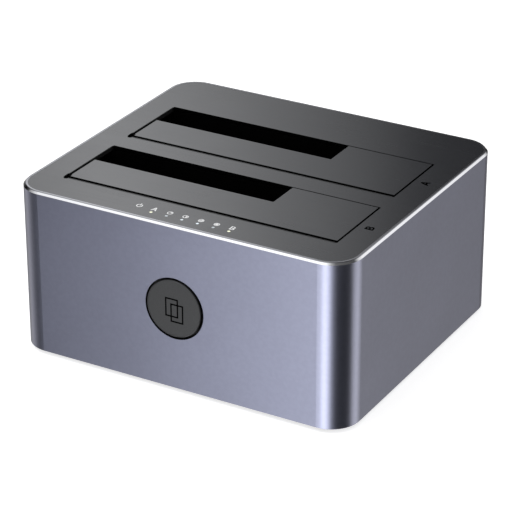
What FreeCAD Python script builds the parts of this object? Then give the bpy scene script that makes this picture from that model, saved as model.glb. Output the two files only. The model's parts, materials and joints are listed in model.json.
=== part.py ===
import FreeCAD, Part
import Sketcher
import math
import os

# A docking box that copies one hard drive onto another.
# An aluminium sleeve holds a flat top panel with two drive bays. Each bay is closed by a sprung flap that
# leaves an L-shaped slot for a small drive, and tips down for a large one. Frame: origin under the middle of
# the base at the foot bottoms, +X to the right seen from the front, +Y to the back, +Z up. Millimetres.

doc = FreeCAD.newDocument("drive_dock")
sizes = doc.addObject("Spreadsheet::Sheet", "sizes")
nodes = []
sheet_rows = []


# ---- sizes that carry their own formula --------------------------------------------------------------------

class Size:
    """A number that remembers how it was worked out from the sheet."""

    def __init__(self, text, value):
        self.text = text
        self.value = float(value)

    def join(self, sign, other, value):
        return Size("(" + self.text + " " + sign + " " + other.text + ")", value)

    def __add__(self, other):
        other = as_size(other)
        return self.join("+", other, self.value + other.value)

    def __radd__(self, other):
        return as_size(other) + self

    def __sub__(self, other):
        other = as_size(other)
        return self.join("-", other, self.value - other.value)

    def __rsub__(self, other):
        return as_size(other) - self

    def __mul__(self, other):
        other = as_size(other)
        return self.join("*", other, self.value * other.value)

    def __rmul__(self, other):
        return as_size(other) * self

    def __truediv__(self, other):
        other = as_size(other)
        return self.join("/", other, self.value / other.value)

    def __neg__(self):
        return as_size(0) - self


def as_size(number):
    if isinstance(number, Size):
        return number
    return Size("(" + repr(float(number)) + ")", number)


def size(alias, number):
    sheet_rows.append(alias)
    row = str(len(sheet_rows))
    sizes.set("A" + row, alias)
    sizes.set("B" + row, str(number))
    sizes.setAlias("B" + row, alias)
    return Size("sizes." + alias, number)


# Outer sleeve
body_width = size("body_width", 127.0)
body_depth = size("body_depth", 112.0)
body_height = size("body_height", 60.0)
foot_proud = size("foot_proud", 1.2)
corner_radius = size("corner_radius", 10.5)
sleeve_wall = size("sleeve_wall", 1.8)
rim_wall = size("rim_wall", 1.0)
top_chamfer = size("top_chamfer", 0.8)
low_chamfer = size("low_chamfer", 0.3)
seat_gap = size("seat_gap", 0.08)

# Top panel and bays
panel_thick = size("panel_thick", 1.5)
panel_sunk = size("panel_sunk", 0.1)
bay_width = size("bay_width", 104.0)
bay_depth = size("bay_depth", 30.15)
bay_pitch = size("bay_pitch", 40.0)
bay_front = size("bay_front", 40.45)
bay_corner = size("bay_corner", 0.3)
lip_fillet = size("lip_fillet", 0.4)
relief_wide = size("relief_wide", 0.55)
relief_long = size("relief_long", 2.6)
relief_ahead = size("relief_ahead", 0.4)
slot_width = size("slot_width", 71.0)
slot_depth = size("slot_depth", 13.35)
boss_x = size("boss_x", 36.0)
boss_front = size("boss_front", 49.0)
boss_rear = size("boss_rear", 36.0)
boss_radius = size("boss_radius", 3.0)
boss_drop = size("boss_drop", 7.5)
pilot_radius = size("pilot_radius", 0.85)
pilot_depth = size("pilot_depth", 6.0)
dot_pitch = size("dot_pitch", 5.9)
dot_line = size("dot_line", 50.4)
dot_radius = size("dot_radius", 0.55)
power_line = size("power_line", 48.0)
window_radius = size("window_radius", 1.5)
window_skin = size("window_skin", 0.35)

# Drive cage
cage_wall = size("cage_wall", 1.6)
well_side = size("well_side", 2.2)
well_front = size("well_front", 1.55)
cage_gap = size("cage_gap", 0.05)
cage_floor = size("cage_floor", 15.0)
leg_x = size("leg_x", 52.5)
leg_front = size("leg_front", 48.5)
leg_rear = size("leg_rear", 35.5)
leg_radius = size("leg_radius", 3.5)
leg_foot = size("leg_foot", 5.2)
leg_top = size("leg_top", 26.0)
leg_pilot = size("leg_pilot", 1.1)
leg_pilot_depth = size("leg_pilot_depth", 10.0)
web_thick = size("web_thick", 1.6)
ear_thick = size("ear_thick", 1.5)
ear_half = size("ear_half", 4.0)
ear_hole = size("ear_hole", 1.05)

# Bay flaps
flap_thick = size("flap_thick", 1.4)
flap_side_gap = size("flap_side_gap", 1.0)
flap_right_gap = size("flap_right_gap", 0.75)
flap_back_gap = size("flap_back_gap", 0.5)
hinge_back = size("hinge_back", 0.45)
flap_front_set = size("flap_front_set", 0.55)
hinge_drop = size("hinge_drop", 3.2)
barrel_radius = size("barrel_radius", 1.4)
pin_radius = size("pin_radius", 0.7)
pin_clearance = size("pin_clearance", 0.05)
pin_seat = size("pin_seat", 0.02)
notch_wide = size("notch_wide", 0.4)
notch_long = size("notch_long", 1.2)
spring_room = size("spring_room", 2.3)
tab_reach = size("tab_reach", 2.3)
tab_under = size("tab_under", 0.1)
tab_thick = size("tab_thick", 1.2)
tab_half = size("tab_half", 2.5)
tab_from_back = size("tab_from_back", 16.5)
rib_drop = size("rib_drop", 1.6)
rib_thick = size("rib_thick", 1.2)
flap_edge = size("flap_edge", 0.3)

# Springs
torsion_mean = size("torsion_mean", 1.15)
torsion_wire = size("torsion_wire", 0.2)
torsion_pitch = size("torsion_pitch", 0.55)
torsion_leg = size("torsion_leg", 9.0)
button_spring_mean = size("button_spring_mean", 5.7)
button_spring_wire = size("button_spring_wire", 0.3)

# Front button
button_height = size("button_height", 30.0)
button_radius = size("button_radius", 10.4)
button_gap = size("button_gap", 0.45)
button_proud = size("button_proud", 0.5)
button_disc = size("button_disc", 1.6)
button_bevel = size("button_bevel", 0.35)
button_dish = size("button_dish", 0.08)
dish_rim = size("dish_rim", 0.5)
button_flange = size("button_flange", 1.5)
flange_thick = size("flange_thick", 1.0)
flange_gap = size("flange_gap", 0.1)
cup_wall = size("cup_wall", 1.2)
stem_radius = size("stem_radius", 2.0)
tact_side = size("tact_side", 6.2)
tact_deep = size("tact_deep", 3.5)
tact_stroke = size("tact_stroke", 0.6)
plunger_radius = size("plunger_radius", 1.7)
plunger_clearance = size("plunger_clearance", 0.08)
plunger_proud = size("plunger_proud", 1.6)
guide_plate = size("guide_plate", 1.2)
guide_ring_gap = size("guide_ring_gap", 0.3)
guide_ring_wall = size("guide_ring_wall", 1.4)
guide_ear = size("guide_ear", 17.5)
guide_post = size("guide_post", 2.2)
guide_bore = size("guide_bore", 4.7)

# Boards
board_thick = size("board_thick", 1.6)
board_low = size("board_low", 6.0)
board_half = size("board_half", 46.0)
board_front = size("board_front", 50.5)
board_back = size("board_back", 53.0)
board_screw_x = size("board_screw_x", 41.0)
board_screw_front = size("board_screw_front", 46.0)
board_screw_rear = size("board_screw_rear", 48.0)
front_board_half = size("front_board_half", 26.0)
front_board_low = size("front_board_low", 8.5)
front_board_top = size("front_board_top", 54.0)
front_board_thick = size("front_board_thick", 1.2)
front_boss = size("front_boss", 0.9)
front_screw_x = size("front_screw_x", 22.0)
front_screw_low = size("front_screw_low", 18.0)
front_screw_high = size("front_screw_high", 48.0)
screw_hole = size("screw_hole", 1.1)

# Drive sockets
socket_left = size("socket_left", 40.0)
socket_width = size("socket_width", 42.0)
socket_deep = size("socket_deep", 6.2)
socket_back = size("socket_back", 2.6)
socket_top = size("socket_top", 20.0)
socket_mouth = size("socket_mouth", 6.0)
socket_wall = size("socket_wall", 1.0)
socket_room = size("socket_room", 0.6)
tongue_thick = size("tongue_thick", 1.2)
contact_wide = size("contact_wide", 0.7)
contact_thick = size("contact_thick", 0.12)
contact_pitch = size("contact_pitch", 1.27)

# Rear connectors
port_level = size("port_level", 14.1)
usb_x = size("usb_x", 14.0)
usb_width = size("usb_width", 12.0)
usb_tall = size("usb_tall", 13.0)
usb_wall = size("usb_wall", 0.5)
usb_gap = size("usb_gap", 0.3)
usb_inside = size("usb_inside", 15.0)
port_sunk = size("port_sunk", 0.4)
jack_x = size("jack_x", -6.0)
jack_width = size("jack_width", 9.0)
jack_collar = size("jack_collar", 4.0)
jack_bore = size("jack_bore", 3.15)
jack_pin = size("jack_pin", 1.0)
jack_gap = size("jack_gap", 0.2)
power_x = size("power_x", -27.0)
power_radius = size("power_radius", 4.0)
power_gap = size("power_gap", 0.3)
power_stroke = size("power_stroke", 1.5)
power_stem = size("power_stem", 1.5)
power_clearance = size("power_clearance", 0.08)
switch_width = size("switch_width", 8.0)

# Base
base_thick = size("base_thick", 1.5)
foot_x = size("foot_x", 44.0)
foot_front = size("foot_front", 38.0)
foot_rear = size("foot_rear", 44.5)
foot_radius = size("foot_radius", 6.0)
foot_sunk = size("foot_sunk", 0.6)
foot_gap = size("foot_gap", 0.1)
counterbore = size("counterbore", 2.4)
counterbore_deep = size("counterbore_deep", 2.0)
vent_wide = size("vent_wide", 2.2)
vent_long = size("vent_long", 17.0)
vent_pitch = size("vent_pitch", 5.0)

# Screws
head_radius = size("head_radius", 1.9)
head_tall = size("head_tall", 1.3)
big_shank = size("big_shank", 1.0)
small_shank = size("small_shank", 0.8)
cross_wide = size("cross_wide", 0.5)
cross_long = size("cross_long", 2.2)
cross_deep = size("cross_deep", 0.7)

doc.recompute()

# Positions that several pieces share
half_width = body_width / 2
half_depth = body_depth / 2
sleeve_low = foot_proud
sleeve_top = foot_proud + body_height
panel_top = sleeve_top - panel_sunk
panel_under = panel_top - panel_thick
front_inner = half_depth - sleeve_wall
bay_half = bay_width / 2
bay_fronts = {"a": bay_pitch - bay_front, "b": -bay_front}
button_level = foot_proud + button_height
hinge_level = panel_top - hinge_drop
flap_half = bay_half - flap_side_gap
flap_right = bay_half - flap_right_gap
well_half = bay_half + well_side
cage_half = well_half + cage_wall
cage_front = -bay_front - well_front - cage_wall
cage_back = bay_fronts["a"] + bay_depth + cage_wall
cage_top = panel_under - cage_gap
cage_low = cage_floor - cage_wall
ear_top = panel_under - boss_drop
board_top = board_low + board_thick
front_board_back = cage_front - front_boss
front_board_face = front_board_back - front_board_thick
slot_right = slot_width - bay_half


# ---- drawing helpers ---------------------------------------------------------------------------------------

def bind(item, field, amount):
    item.setExpression(field, as_size(amount).text)


def new_body(name):
    body = doc.addObject("PartDesign::Body", name)
    body.Label = name
    nodes.append(body)
    return body


class Drawing:
    """Lines, constraints and formulas gathered first, so the sketch is solved once."""

    def __init__(self):
        self.geometry = []
        self.constraints = []
        self.formulas = []

    def curve(self, shape):
        self.geometry.append(shape)
        return len(self.geometry) - 1

    def hold(self, *words):
        self.constraints.append(Sketcher.Constraint(*words))
        return len(self.constraints) - 1

    def fix(self, kind, target, amount):
        amount = as_size(amount)
        if kind == "Radius":
            number = self.hold(kind, target[0], amount.value)
        else:
            number = self.hold(kind, -1, 1, target[0], target[1], amount.value)
        self.formulas.append(("Constraints[" + str(number) + "]", amount.text))

    def lay(self, sketch):
        sketch.addGeometry(self.geometry, False)
        sketch.addConstraint(self.constraints)
        for field, text in self.formulas:
            sketch.setExpression(field, text)


def new_sketch(body, name, role, offset, draw):
    sketch = body.newObject("Sketcher::SketchObject", body.Name + "_" + name + "_outline")
    planes = [item for item in body.Origin.OriginFeatures if item.Role == role]
    sketch.AttachmentSupport = [(planes[0], "")]
    sketch.MapMode = "FlatFace"
    if role == "XZ_Plane":
        offset = -as_size(offset)
    bind(sketch, "AttachmentOffset.Base.z", offset)
    drawing = Drawing()
    draw(drawing)
    drawing.lay(sketch)
    return sketch


def polygon(sketch, points):
    spots = [(as_size(p[0]), as_size(p[1])) for p in points]
    lines = []
    for index in range(len(spots)):
        here = spots[index]
        there = spots[(index + 1) % len(spots)]
        start = FreeCAD.Vector(here[0].value, here[1].value, 0)
        end = FreeCAD.Vector(there[0].value, there[1].value, 0)
        lines.append(sketch.curve(Part.LineSegment(start, end)))
    for index in range(len(lines)):
        following = lines[(index + 1) % len(lines)]
        sketch.hold("Coincident", lines[index], 2, following, 1)
    for index in range(len(lines)):
        sketch.fix("DistanceX", (lines[index], 1), spots[index][0])
        sketch.fix("DistanceY", (lines[index], 1), spots[index][1])


def rectangle(sketch, x_low, x_high, y_low, y_high):
    polygon(sketch, [(x_low, y_low), (x_high, y_low), (x_high, y_high), (x_low, y_high)])


def circle(sketch, x, y, radius):
    x = as_size(x)
    y = as_size(y)
    radius = as_size(radius)
    centre = FreeCAD.Vector(x.value, y.value, 0)
    ring = sketch.curve(Part.Circle(centre, FreeCAD.Vector(0, 0, 1), radius.value))
    sketch.fix("DistanceX", (ring, 3), x)
    sketch.fix("DistanceY", (ring, 3), y)
    sketch.fix("Radius", (ring,), radius)


def rounded(sketch, x_low, x_high, y_low, y_high, radius):
    xs = (as_size(x_low).value, as_size(x_high).value)
    ys = (as_size(y_low).value, as_size(y_high).value)
    r = as_size(radius).value
    ends = [((xs[0] + r, ys[0]), (xs[1] - r, ys[0])), ((xs[1], ys[0] + r), (xs[1], ys[1] - r))]
    ends.append(((xs[1] - r, ys[1]), (xs[0] + r, ys[1])))
    ends.append(((xs[0], ys[1] - r), (xs[0], ys[0] + r)))
    centres = [(xs[1] - r, ys[0] + r), (xs[1] - r, ys[1] - r), (xs[0] + r, ys[1] - r), (xs[0] + r, ys[0] + r)]
    sides = []
    bends = []
    for index in range(4):
        start = FreeCAD.Vector(ends[index][0][0], ends[index][0][1], 0)
        end = FreeCAD.Vector(ends[index][1][0], ends[index][1][1], 0)
        sides.append(sketch.curve(Part.LineSegment(start, end)))
        centre = FreeCAD.Vector(centres[index][0], centres[index][1], 0)
        ring = Part.Circle(centre, FreeCAD.Vector(0, 0, 1), r)
        turn = math.radians(90 * index - 90)
        bends.append(sketch.curve(Part.ArcOfCircle(ring, turn, turn + math.pi / 2)))
    for index in range(4):
        sketch.hold("Tangent", sides[index], 2, bends[index], 1)
        sketch.hold("Tangent", bends[index], 2, sides[(index + 1) % 4], 1)
    for index in range(3):
        sketch.hold("Equal", bends[0], bends[index + 1])
    sketch.hold("Horizontal", sides[0])
    sketch.hold("Vertical", sides[1])
    sketch.hold("Horizontal", sides[2])
    sketch.hold("Vertical", sides[3])
    sketch.fix("Radius", (bends[0],), radius)
    sketch.fix("DistanceY", (sides[0], 1), y_low)
    sketch.fix("DistanceX", (sides[1], 1), x_high)
    sketch.fix("DistanceY", (sides[2], 1), y_high)
    sketch.fix("DistanceX", (sides[3], 1), x_low)


def pad(body, name, role, low, high, draw):
    low = as_size(low)
    high = as_size(high)
    start = high if role == "XZ_Plane" else low
    sketch = new_sketch(body, name, role, start, draw)
    feature = body.newObject("PartDesign::Pad", body.Name + "_" + name)
    feature.Profile = sketch
    bind(feature, "Length", high - low)
    doc.recompute()
    return feature


def pocket(body, name, role, low, high, draw):
    low = as_size(low)
    high = as_size(high)
    before = body.Shape.Volume
    start = low if role == "XZ_Plane" else high
    sketch = new_sketch(body, name, role, start, draw)
    feature = body.newObject("PartDesign::Pocket", body.Name + "_" + name)
    feature.Profile = sketch
    bind(feature, "Length", high - low)
    doc.recompute()
    if body.Shape.Volume > before - 1e-6:
        raise RuntimeError("pocket " + feature.Name + " removed nothing")
    return feature


def dress(body, kind, name, amount, wanted):
    """Fillet or chamfer the edges of a body that the wanted test picks."""
    base = body.Tip
    picked = []
    for index, edge in enumerate(base.Shape.Edges):
        if wanted(edge):
            picked.append("Edge" + str(index + 1))
    if not picked:
        raise RuntimeError("no edges for " + name)
    feature = body.newObject("PartDesign::" + kind, body.Name + "_" + name)
    feature.Base = (base, picked)
    bind(feature, "Radius" if kind == "Fillet" else "Size", amount)
    doc.recompute()
    return feature


def inside(edge, low, high):
    box = edge.BoundBox
    sides = ((box.XMin, box.XMax), (box.YMin, box.YMax), (box.ZMin, box.ZMax))
    for index in range(3):
        if sides[index][0] < low[index] - 0.01 or sides[index][1] > high[index] + 0.01:
            return False
    return True


def block(name, x_low, x_high, y_low, y_high, z_low, z_high):
    item = doc.addObject("Part::Box", name)
    bind(item, "Length", as_size(x_high) - x_low)
    bind(item, "Width", as_size(y_high) - y_low)
    bind(item, "Height", as_size(z_high) - z_low)
    bind(item, "Placement.Base.x", x_low)
    bind(item, "Placement.Base.y", y_low)
    bind(item, "Placement.Base.z", z_low)
    return item


def rod(name, direction, x, y, z, radius, length):
    """A round bar that starts at x, y, z and runs along +X, +Y or +Z."""
    item = doc.addObject("Part::Cylinder", name)
    turns = {"x": FreeCAD.Rotation(FreeCAD.Vector(0, 1, 0), 90)}
    turns["y"] = FreeCAD.Rotation(FreeCAD.Vector(1, 0, 0), -90)
    turns["z"] = FreeCAD.Rotation()
    item.Placement = FreeCAD.Placement(FreeCAD.Vector(0, 0, 0), turns[direction])
    bind(item, "Radius", radius)
    bind(item, "Height", length)
    bind(item, "Placement.Base.x", x)
    bind(item, "Placement.Base.y", y)
    bind(item, "Placement.Base.z", z)
    return item


def joined(name, pieces):
    item = doc.addObject("Part::MultiFuse", name)
    item.Shapes = pieces
    return item


def minus(name, base, tool):
    item = doc.addObject("Part::Cut", name)
    item.Base = base
    item.Tool = tool
    return item


def finish_node(item, name):
    item.Label = name
    nodes.append(item)
    return item


# ---- housing sleeve ----------------------------------------------------------------------------------------

def inset_outline(inset):
    def draw(sketch):
        x = half_width - inset
        y = half_depth - inset
        rounded(sketch, -x, x, -y, y, corner_radius - inset)
    return draw


sleeve = new_body("housing_sleeve")
pad(sleeve, "block", "XY_Plane", sleeve_low, sleeve_top, inset_outline(as_size(0)))
pocket(sleeve, "bore", "XY_Plane", sleeve_low, sleeve_top, inset_outline(sleeve_wall))
pocket(sleeve, "panel_seat", "XY_Plane", panel_under, sleeve_top, inset_outline(rim_wall))
pocket(sleeve, "base_seat", "XY_Plane", sleeve_low, sleeve_low + base_thick, inset_outline(rim_wall))


def draw_button_hole(sketch):
    circle(sketch, 0, button_level, button_radius + button_gap)


pocket(sleeve, "button_hole", "XZ_Plane", -half_depth, -front_inner, draw_button_hole)


def draw_rear_holes(sketch):
    half = usb_width / 2 + usb_gap
    rounded(sketch, usb_x - half, usb_x + half, board_top - usb_gap, board_top + usb_tall + usb_gap, 0.6)
    circle(sketch, jack_x, port_level, jack_collar + jack_gap)
    circle(sketch, power_x, port_level, power_radius + power_gap)


pocket(sleeve, "rear_holes", "XZ_Plane", front_inner, half_depth, draw_rear_holes)

w = half_width.value
d = half_depth.value
t = sleeve_top.value
lid = panel_top.value
b = sleeve_low.value


def on_outer_rim(level):
    def wanted(edge):
        if not inside(edge, (-w, -d, level), (w, d, level)):
            return False
        box = edge.BoundBox
        reach_x = max(abs(box.XMin), abs(box.XMax))
        reach_y = max(abs(box.YMin), abs(box.YMax))
        return abs(reach_x - w) < 0.01 or abs(reach_y - d) < 0.01
    return wanted


dress(sleeve, "Chamfer", "top_bright_edge", top_chamfer, on_outer_rim(t))
dress(sleeve, "Chamfer", "low_edge", low_chamfer, on_outer_rim(b))


# ---- top panel ---------------------------------------------------------------------------------------------

panel = new_body("top_panel")
pad(panel, "plate", "XY_Plane", panel_under, panel_top, inset_outline(rim_wall + seat_gap))


def draw_bays(sketch):
    for side in ("a", "b"):
        low = bay_fronts[side]
        rounded(sketch, -bay_half, bay_half, low, low + bay_depth, bay_corner)


pocket(panel, "bay_openings", "XY_Plane", panel_under, panel_top, draw_bays)


def draw_spring_reliefs(sketch):
    for side in ("a", "b"):
        low = bay_fronts[side] - relief_ahead
        rectangle(sketch, -bay_half - relief_wide, -bay_half + 0.5, low, low + relief_ahead + relief_long)
        rectangle(sketch, bay_half - flap_side_gap, bay_half, low, low + relief_ahead + 0.5)



def boss_spots():
    return [(-boss_x, -boss_front), (boss_x, -boss_front), (-boss_x, boss_rear), (boss_x, boss_rear)]


def draw_bosses(sketch):
    for x, y in boss_spots():
        circle(sketch, x, y, boss_radius)


def draw_boss_pilots(sketch):
    for x, y in boss_spots():
        circle(sketch, x, y, pilot_radius)


pad(panel, "screw_bosses", "XY_Plane", ear_top, panel_under, draw_bosses)
pocket(panel, "screw_pilots", "XY_Plane", ear_top, ear_top + pilot_depth, draw_boss_pilots)


def draw_status_holes(sketch):
    for step in range(-2, 4):
        circle(sketch, dot_pitch * step, -dot_line, dot_radius)


def draw_power_window(sketch):
    circle(sketch, dot_pitch * -3, -power_line, window_radius)


pocket(panel, "status_holes", "XY_Plane", panel_under, panel_top, draw_status_holes)
pocket(panel, "power_window", "XY_Plane", panel_under, panel_top - window_skin, draw_power_window)


def is_front_lip(edge):
    for side in ("a", "b"):
        y = bay_fronts[side].value
        if inside(edge, (-w, y, lid), (w, y, lid)) and edge.Length > 50:
            return True
    return False


pocket(panel, "spring_reliefs", "XY_Plane", panel_under, panel_top, draw_spring_reliefs)
dress(panel, "Fillet", "front_lips", lip_fillet, is_front_lip)


# ---- drive cage --------------------------------------------------------------------------------------------

cage = new_body("drive_cage")


def draw_cage_block(sketch):
    rounded(sketch, -cage_half, cage_half, cage_front, cage_back, 1.5)


pad(cage, "block", "XY_Plane", cage_low, cage_top, draw_cage_block)


def draw_wells(sketch):
    for side in ("a", "b"):
        low = bay_fronts[side]
        rounded(sketch, -well_half, well_half, low - well_front, low + bay_depth, 0.8)


pocket(cage, "wells", "XY_Plane", cage_floor, cage_top, draw_wells)


def draw_middle_cores(sketch):
    low = bay_fronts["b"] + bay_depth + cage_wall
    high = bay_fronts["a"] - well_front - cage_wall
    third = well_half * 2 / 3
    for index in range(3):
        left = third * index - well_half + web_thick / 2
        rectangle(sketch, left, left + third - web_thick, low, high)


pocket(cage, "middle_cores", "XY_Plane", cage_low, cage_top - cage_wall, draw_middle_cores)


def socket_span(side):
    back = bay_fronts[side] + bay_depth - socket_back
    return back - socket_deep, back


def draw_socket_windows(sketch):
    left = -socket_left - socket_room
    right = socket_width - socket_left + socket_room
    for side in ("a", "b"):
        low, high = socket_span(side)
        rectangle(sketch, left, right, low - socket_room, high + socket_room)
        for step in range(4):
            x = 12.0 + 10.0 * step
            rounded(sketch, x - vent_wide / 2, x + vent_wide / 2, low - 14.0, high - 2.0, 1.0)


pocket(cage, "socket_windows", "XY_Plane", cage_low, cage_floor, draw_socket_windows)


def draw_pin_holes(sketch):
    for side in ("a", "b"):
        circle(sketch, bay_fronts[side] + hinge_back, hinge_level, pin_radius + pin_seat)


pocket(cage, "pin_holes", "YZ_Plane", -cage_half, cage_half, draw_pin_holes)


def leg_spots():
    return [(-leg_x, -leg_front), (leg_x, -leg_front), (-leg_x, leg_rear), (leg_x, leg_rear)]


def draw_legs(sketch):
    for x, y in leg_spots():
        circle(sketch, x, y, leg_radius)


def draw_leg_webs(sketch):
    for x in (-leg_x, leg_x):
        rectangle(sketch, x - web_thick / 2, x + web_thick / 2, -leg_front, cage_front + 0.4)
        rectangle(sketch, x - web_thick / 2, x + web_thick / 2, cage_back - 0.4, leg_rear)


def draw_leg_pilots(sketch):
    for x, y in leg_spots():
        circle(sketch, x, y, leg_pilot)


pad(cage, "leg_webs", "XY_Plane", cage_low, leg_top + 8.0, draw_leg_webs)
pad(cage, "legs", "XY_Plane", leg_foot, leg_top, draw_legs)
pocket(cage, "leg_pilots", "XY_Plane", leg_foot, leg_foot + leg_pilot_depth, draw_leg_pilots)


def draw_ears(sketch):
    for x in (-boss_x, boss_x):
        rounded(sketch, x - ear_half, x + ear_half, -boss_front - ear_half + 0.6, cage_front + 0.4, 0.39)
        rounded(sketch, x - ear_half, x + ear_half, cage_back - 0.4, boss_rear + ear_half - 0.6, 0.39)


def draw_ear_holes(sketch):
    for x, y in boss_spots():
        circle(sketch, x, y, ear_hole)


def draw_gussets(sketch):
    low = ear_top - ear_thick
    polygon(sketch, [(cage_front + 0.2, low - 7.0), (cage_front + 0.2, low), (cage_front - 7.0, low)])
    polygon(sketch, [(cage_back - 0.2, low - 7.0), (cage_back + 7.0, low), (cage_back - 0.2, low)])


pad(cage, "ears", "XY_Plane", ear_top - ear_thick, ear_top, draw_ears)
pocket(cage, "ear_holes", "XY_Plane", ear_top - ear_thick, ear_top, draw_ear_holes)
for number, start in enumerate((-boss_x - ear_half, -boss_x + ear_half - web_thick,
                                boss_x - ear_half, boss_x + ear_half - web_thick)):
    pad(cage, "gusset_" + str(number), "YZ_Plane", start, start + web_thick, draw_gussets)


def front_screw_spots():
    spots = []
    for z in (front_screw_low, front_screw_high):
        spots.append((-front_screw_x, z))
        spots.append((front_screw_x, z))
    return spots


def draw_board_bosses(sketch):
    for x, z in front_screw_spots():
        circle(sketch, x, z, 2.4)


def draw_board_pilots(sketch):
    for x, z in front_screw_spots():
        circle(sketch, x, z, pilot_radius)


pad(cage, "board_bosses", "XZ_Plane", front_board_back, cage_front + 0.2, draw_board_bosses)
pocket(cage, "board_pilots", "XZ_Plane", front_board_back, cage_front + cage_wall, draw_board_pilots)


# ---- bay flaps, their hinge pins and springs ----------------------------------------------------------------

def make_flap(side):
    low = bay_fronts[side]
    high = low + bay_depth
    axis_y = low + hinge_back
    edge_y = axis_y + flap_front_set
    barrel_left = -flap_half + spring_room
    flap = new_body("flap_" + side)

    def draw_plate(sketch):
        points = [(notch_wide - flap_half, edge_y), (flap_right, edge_y)]
        points.append((flap_right, high - flap_back_gap))
        points.append((slot_right, high - flap_back_gap))
        points.append((slot_right, high - slot_depth))
        points.append((-flap_half, high - slot_depth))
        points.append((-flap_half, edge_y + notch_long))
        points.append((notch_wide - flap_half, edge_y + notch_long))
        polygon(sketch, points)

    def draw_barrel(sketch):
        circle(sketch, axis_y, hinge_level, barrel_radius)

    def draw_web(sketch):
        rectangle(sketch, edge_y, edge_y + flap_thick, hinge_level, panel_top - flap_thick)

    def draw_bore(sketch):
        circle(sketch, axis_y, hinge_level, pin_radius + pin_clearance)

    def draw_ribs(sketch):
        for x in (-40.0, -18.0, 4.0, 26.0, 44.0):
            rectangle(sketch, x - rib_thick / 2, x + rib_thick / 2, axis_y + 3.0, high - slot_depth - 1.5)
        rectangle(sketch, slot_right + 2.0, 44.0, high - slot_depth - 1.5, high - slot_depth - 1.5 + rib_thick)

    def draw_tabs(sketch):
        middle = high - tab_from_back
        reach = flap_half + tab_reach
        rectangle(sketch, -reach, -flap_half + 4.0, middle - tab_half, middle + tab_half)
        rectangle(sketch, flap_half - 4.0, reach, middle - tab_half, middle + tab_half)

    def draw_risers(sketch):
        middle = high - tab_from_back
        rectangle(sketch, -flap_half, -flap_half + 4.0, middle - tab_half, middle + tab_half)
        rectangle(sketch, flap_half - 4.0, flap_half, middle - tab_half, middle + tab_half)

    under = panel_top - flap_thick
    tab_top = panel_under - tab_under
    pad(flap, "plate", "XY_Plane", under, panel_top, draw_plate)
    pad(flap, "web", "YZ_Plane", barrel_left, flap_half, draw_web)
    pad(flap, "barrel", "YZ_Plane", barrel_left, flap_half, draw_barrel)
    pocket(flap, "pin_bore", "YZ_Plane", barrel_left, flap_half, draw_bore)
    pad(flap, "ribs", "XY_Plane", under - rib_drop, under, draw_ribs)
    pad(flap, "risers", "XY_Plane", tab_top - tab_thick, under, draw_risers)
    pad(flap, "stop_tabs", "XY_Plane", tab_top - tab_thick, tab_top, draw_tabs)

    def is_slot_edge(edge):
        y_high = (high - slot_depth).value
        if inside(edge, (-w, y_high, lid), (w, y_high, lid)):
            return True
        return inside(edge, (slot_right.value, y_high, lid), (slot_right.value, high.value, lid))

    dress(flap, "Fillet", "slot_edges", flap_edge, is_slot_edge)


def wire_solid(paths, radius):
    """A round wire bent along joined paths, each a list of points; long lists become smooth curves."""
    edges = []
    for points in paths:
        if len(points) == 2:
            edges.append(Part.makeLine(points[0], points[1]))
        else:
            curve = Part.BSplineCurve()
            curve.interpolate(points)
            edges.append(curve.toShape())
    spine = Part.Wire(edges)
    first = edges[0]
    heading = first.tangentAt(first.FirstParameter)
    ring = Part.Wire([Part.makeCircle(radius, first.valueAt(first.FirstParameter), heading)])
    return spine.makePipeShell([ring], True, True)


# A bent wire spring has no primitive or body feature of its own, so its solid is swept here.
def make_torsion_spring(side):
    mean = torsion_mean.value
    pitch = torsion_pitch.value
    axis_y = (bay_fronts[side] + hinge_back).value
    axis_z = hinge_level.value
    turns = 3.25
    start_x = (-flap_half + spring_room).value - 0.35 - pitch * turns
    coil = []
    steps = int(turns * 16)
    for step in range(steps + 1):
        part = step / steps
        angle = math.pi - part * turns * 2 * math.pi
        x = start_x + part * turns * pitch
        coil.append(FreeCAD.Vector(x, axis_y + mean * math.cos(angle), axis_z + mean * math.sin(angle)))
    leg = torsion_leg.value
    slope = pitch / (2 * math.pi * mean)
    first = FreeCAD.Vector(coil[0].x - slope * leg, coil[0].y, coil[0].z - leg)
    last = FreeCAD.Vector(coil[-1].x + slope * leg, coil[-1].y + leg, coil[-1].z)
    item = doc.addObject("Part::Feature", "flap_spring_" + side)
    item.Shape = wire_solid([[first, coil[0]], coil, [coil[-1], last]], torsion_wire.value)
    finish_node(item, "flap_spring_" + side)


for side in ("a", "b"):
    make_flap(side)
    make_torsion_spring(side)

pins = []
for side in ("a", "b"):
    y = bay_fronts[side] + hinge_back
    pins.append(rod("hinge_pin_" + side, "x", -cage_half, y, hinge_level, pin_radius, cage_half * 2))
finish_node(joined("flap_pins", pins), "flap_pins")


# ---- front button ------------------------------------------------------------------------------------------

face_y = -half_depth - button_proud
flange_front = -front_inner + flange_gap
flange_back = flange_front + flange_thick
switch_face = front_board_face - tact_deep
plunger_tip = switch_face - plunger_proud

button = new_body("clone_button")
pad(button, "cap", "XZ_Plane", face_y, flange_back, lambda s: circle(s, 0, button_level, button_radius))
pad(button, "flange", "XZ_Plane", flange_front, flange_back,
    lambda s: circle(s, 0, button_level, button_radius + button_flange))
pocket(button, "hollow", "XZ_Plane", face_y + button_disc, flange_back,
       lambda s: circle(s, 0, button_level, button_radius - cup_wall))
pad(button, "stem", "XZ_Plane", face_y + button_disc - 0.2, plunger_tip,
    lambda s: circle(s, 0, button_level, stem_radius))
dress(button, "Chamfer", "front_bevel", button_bevel,
      lambda e: inside(e, (-w, face_y.value, 0), (w, face_y.value, 99)))
pocket(button, "dish", "XZ_Plane", face_y, face_y + button_dish,
       lambda s: circle(s, 0, button_level, button_radius - dish_rim))

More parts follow.
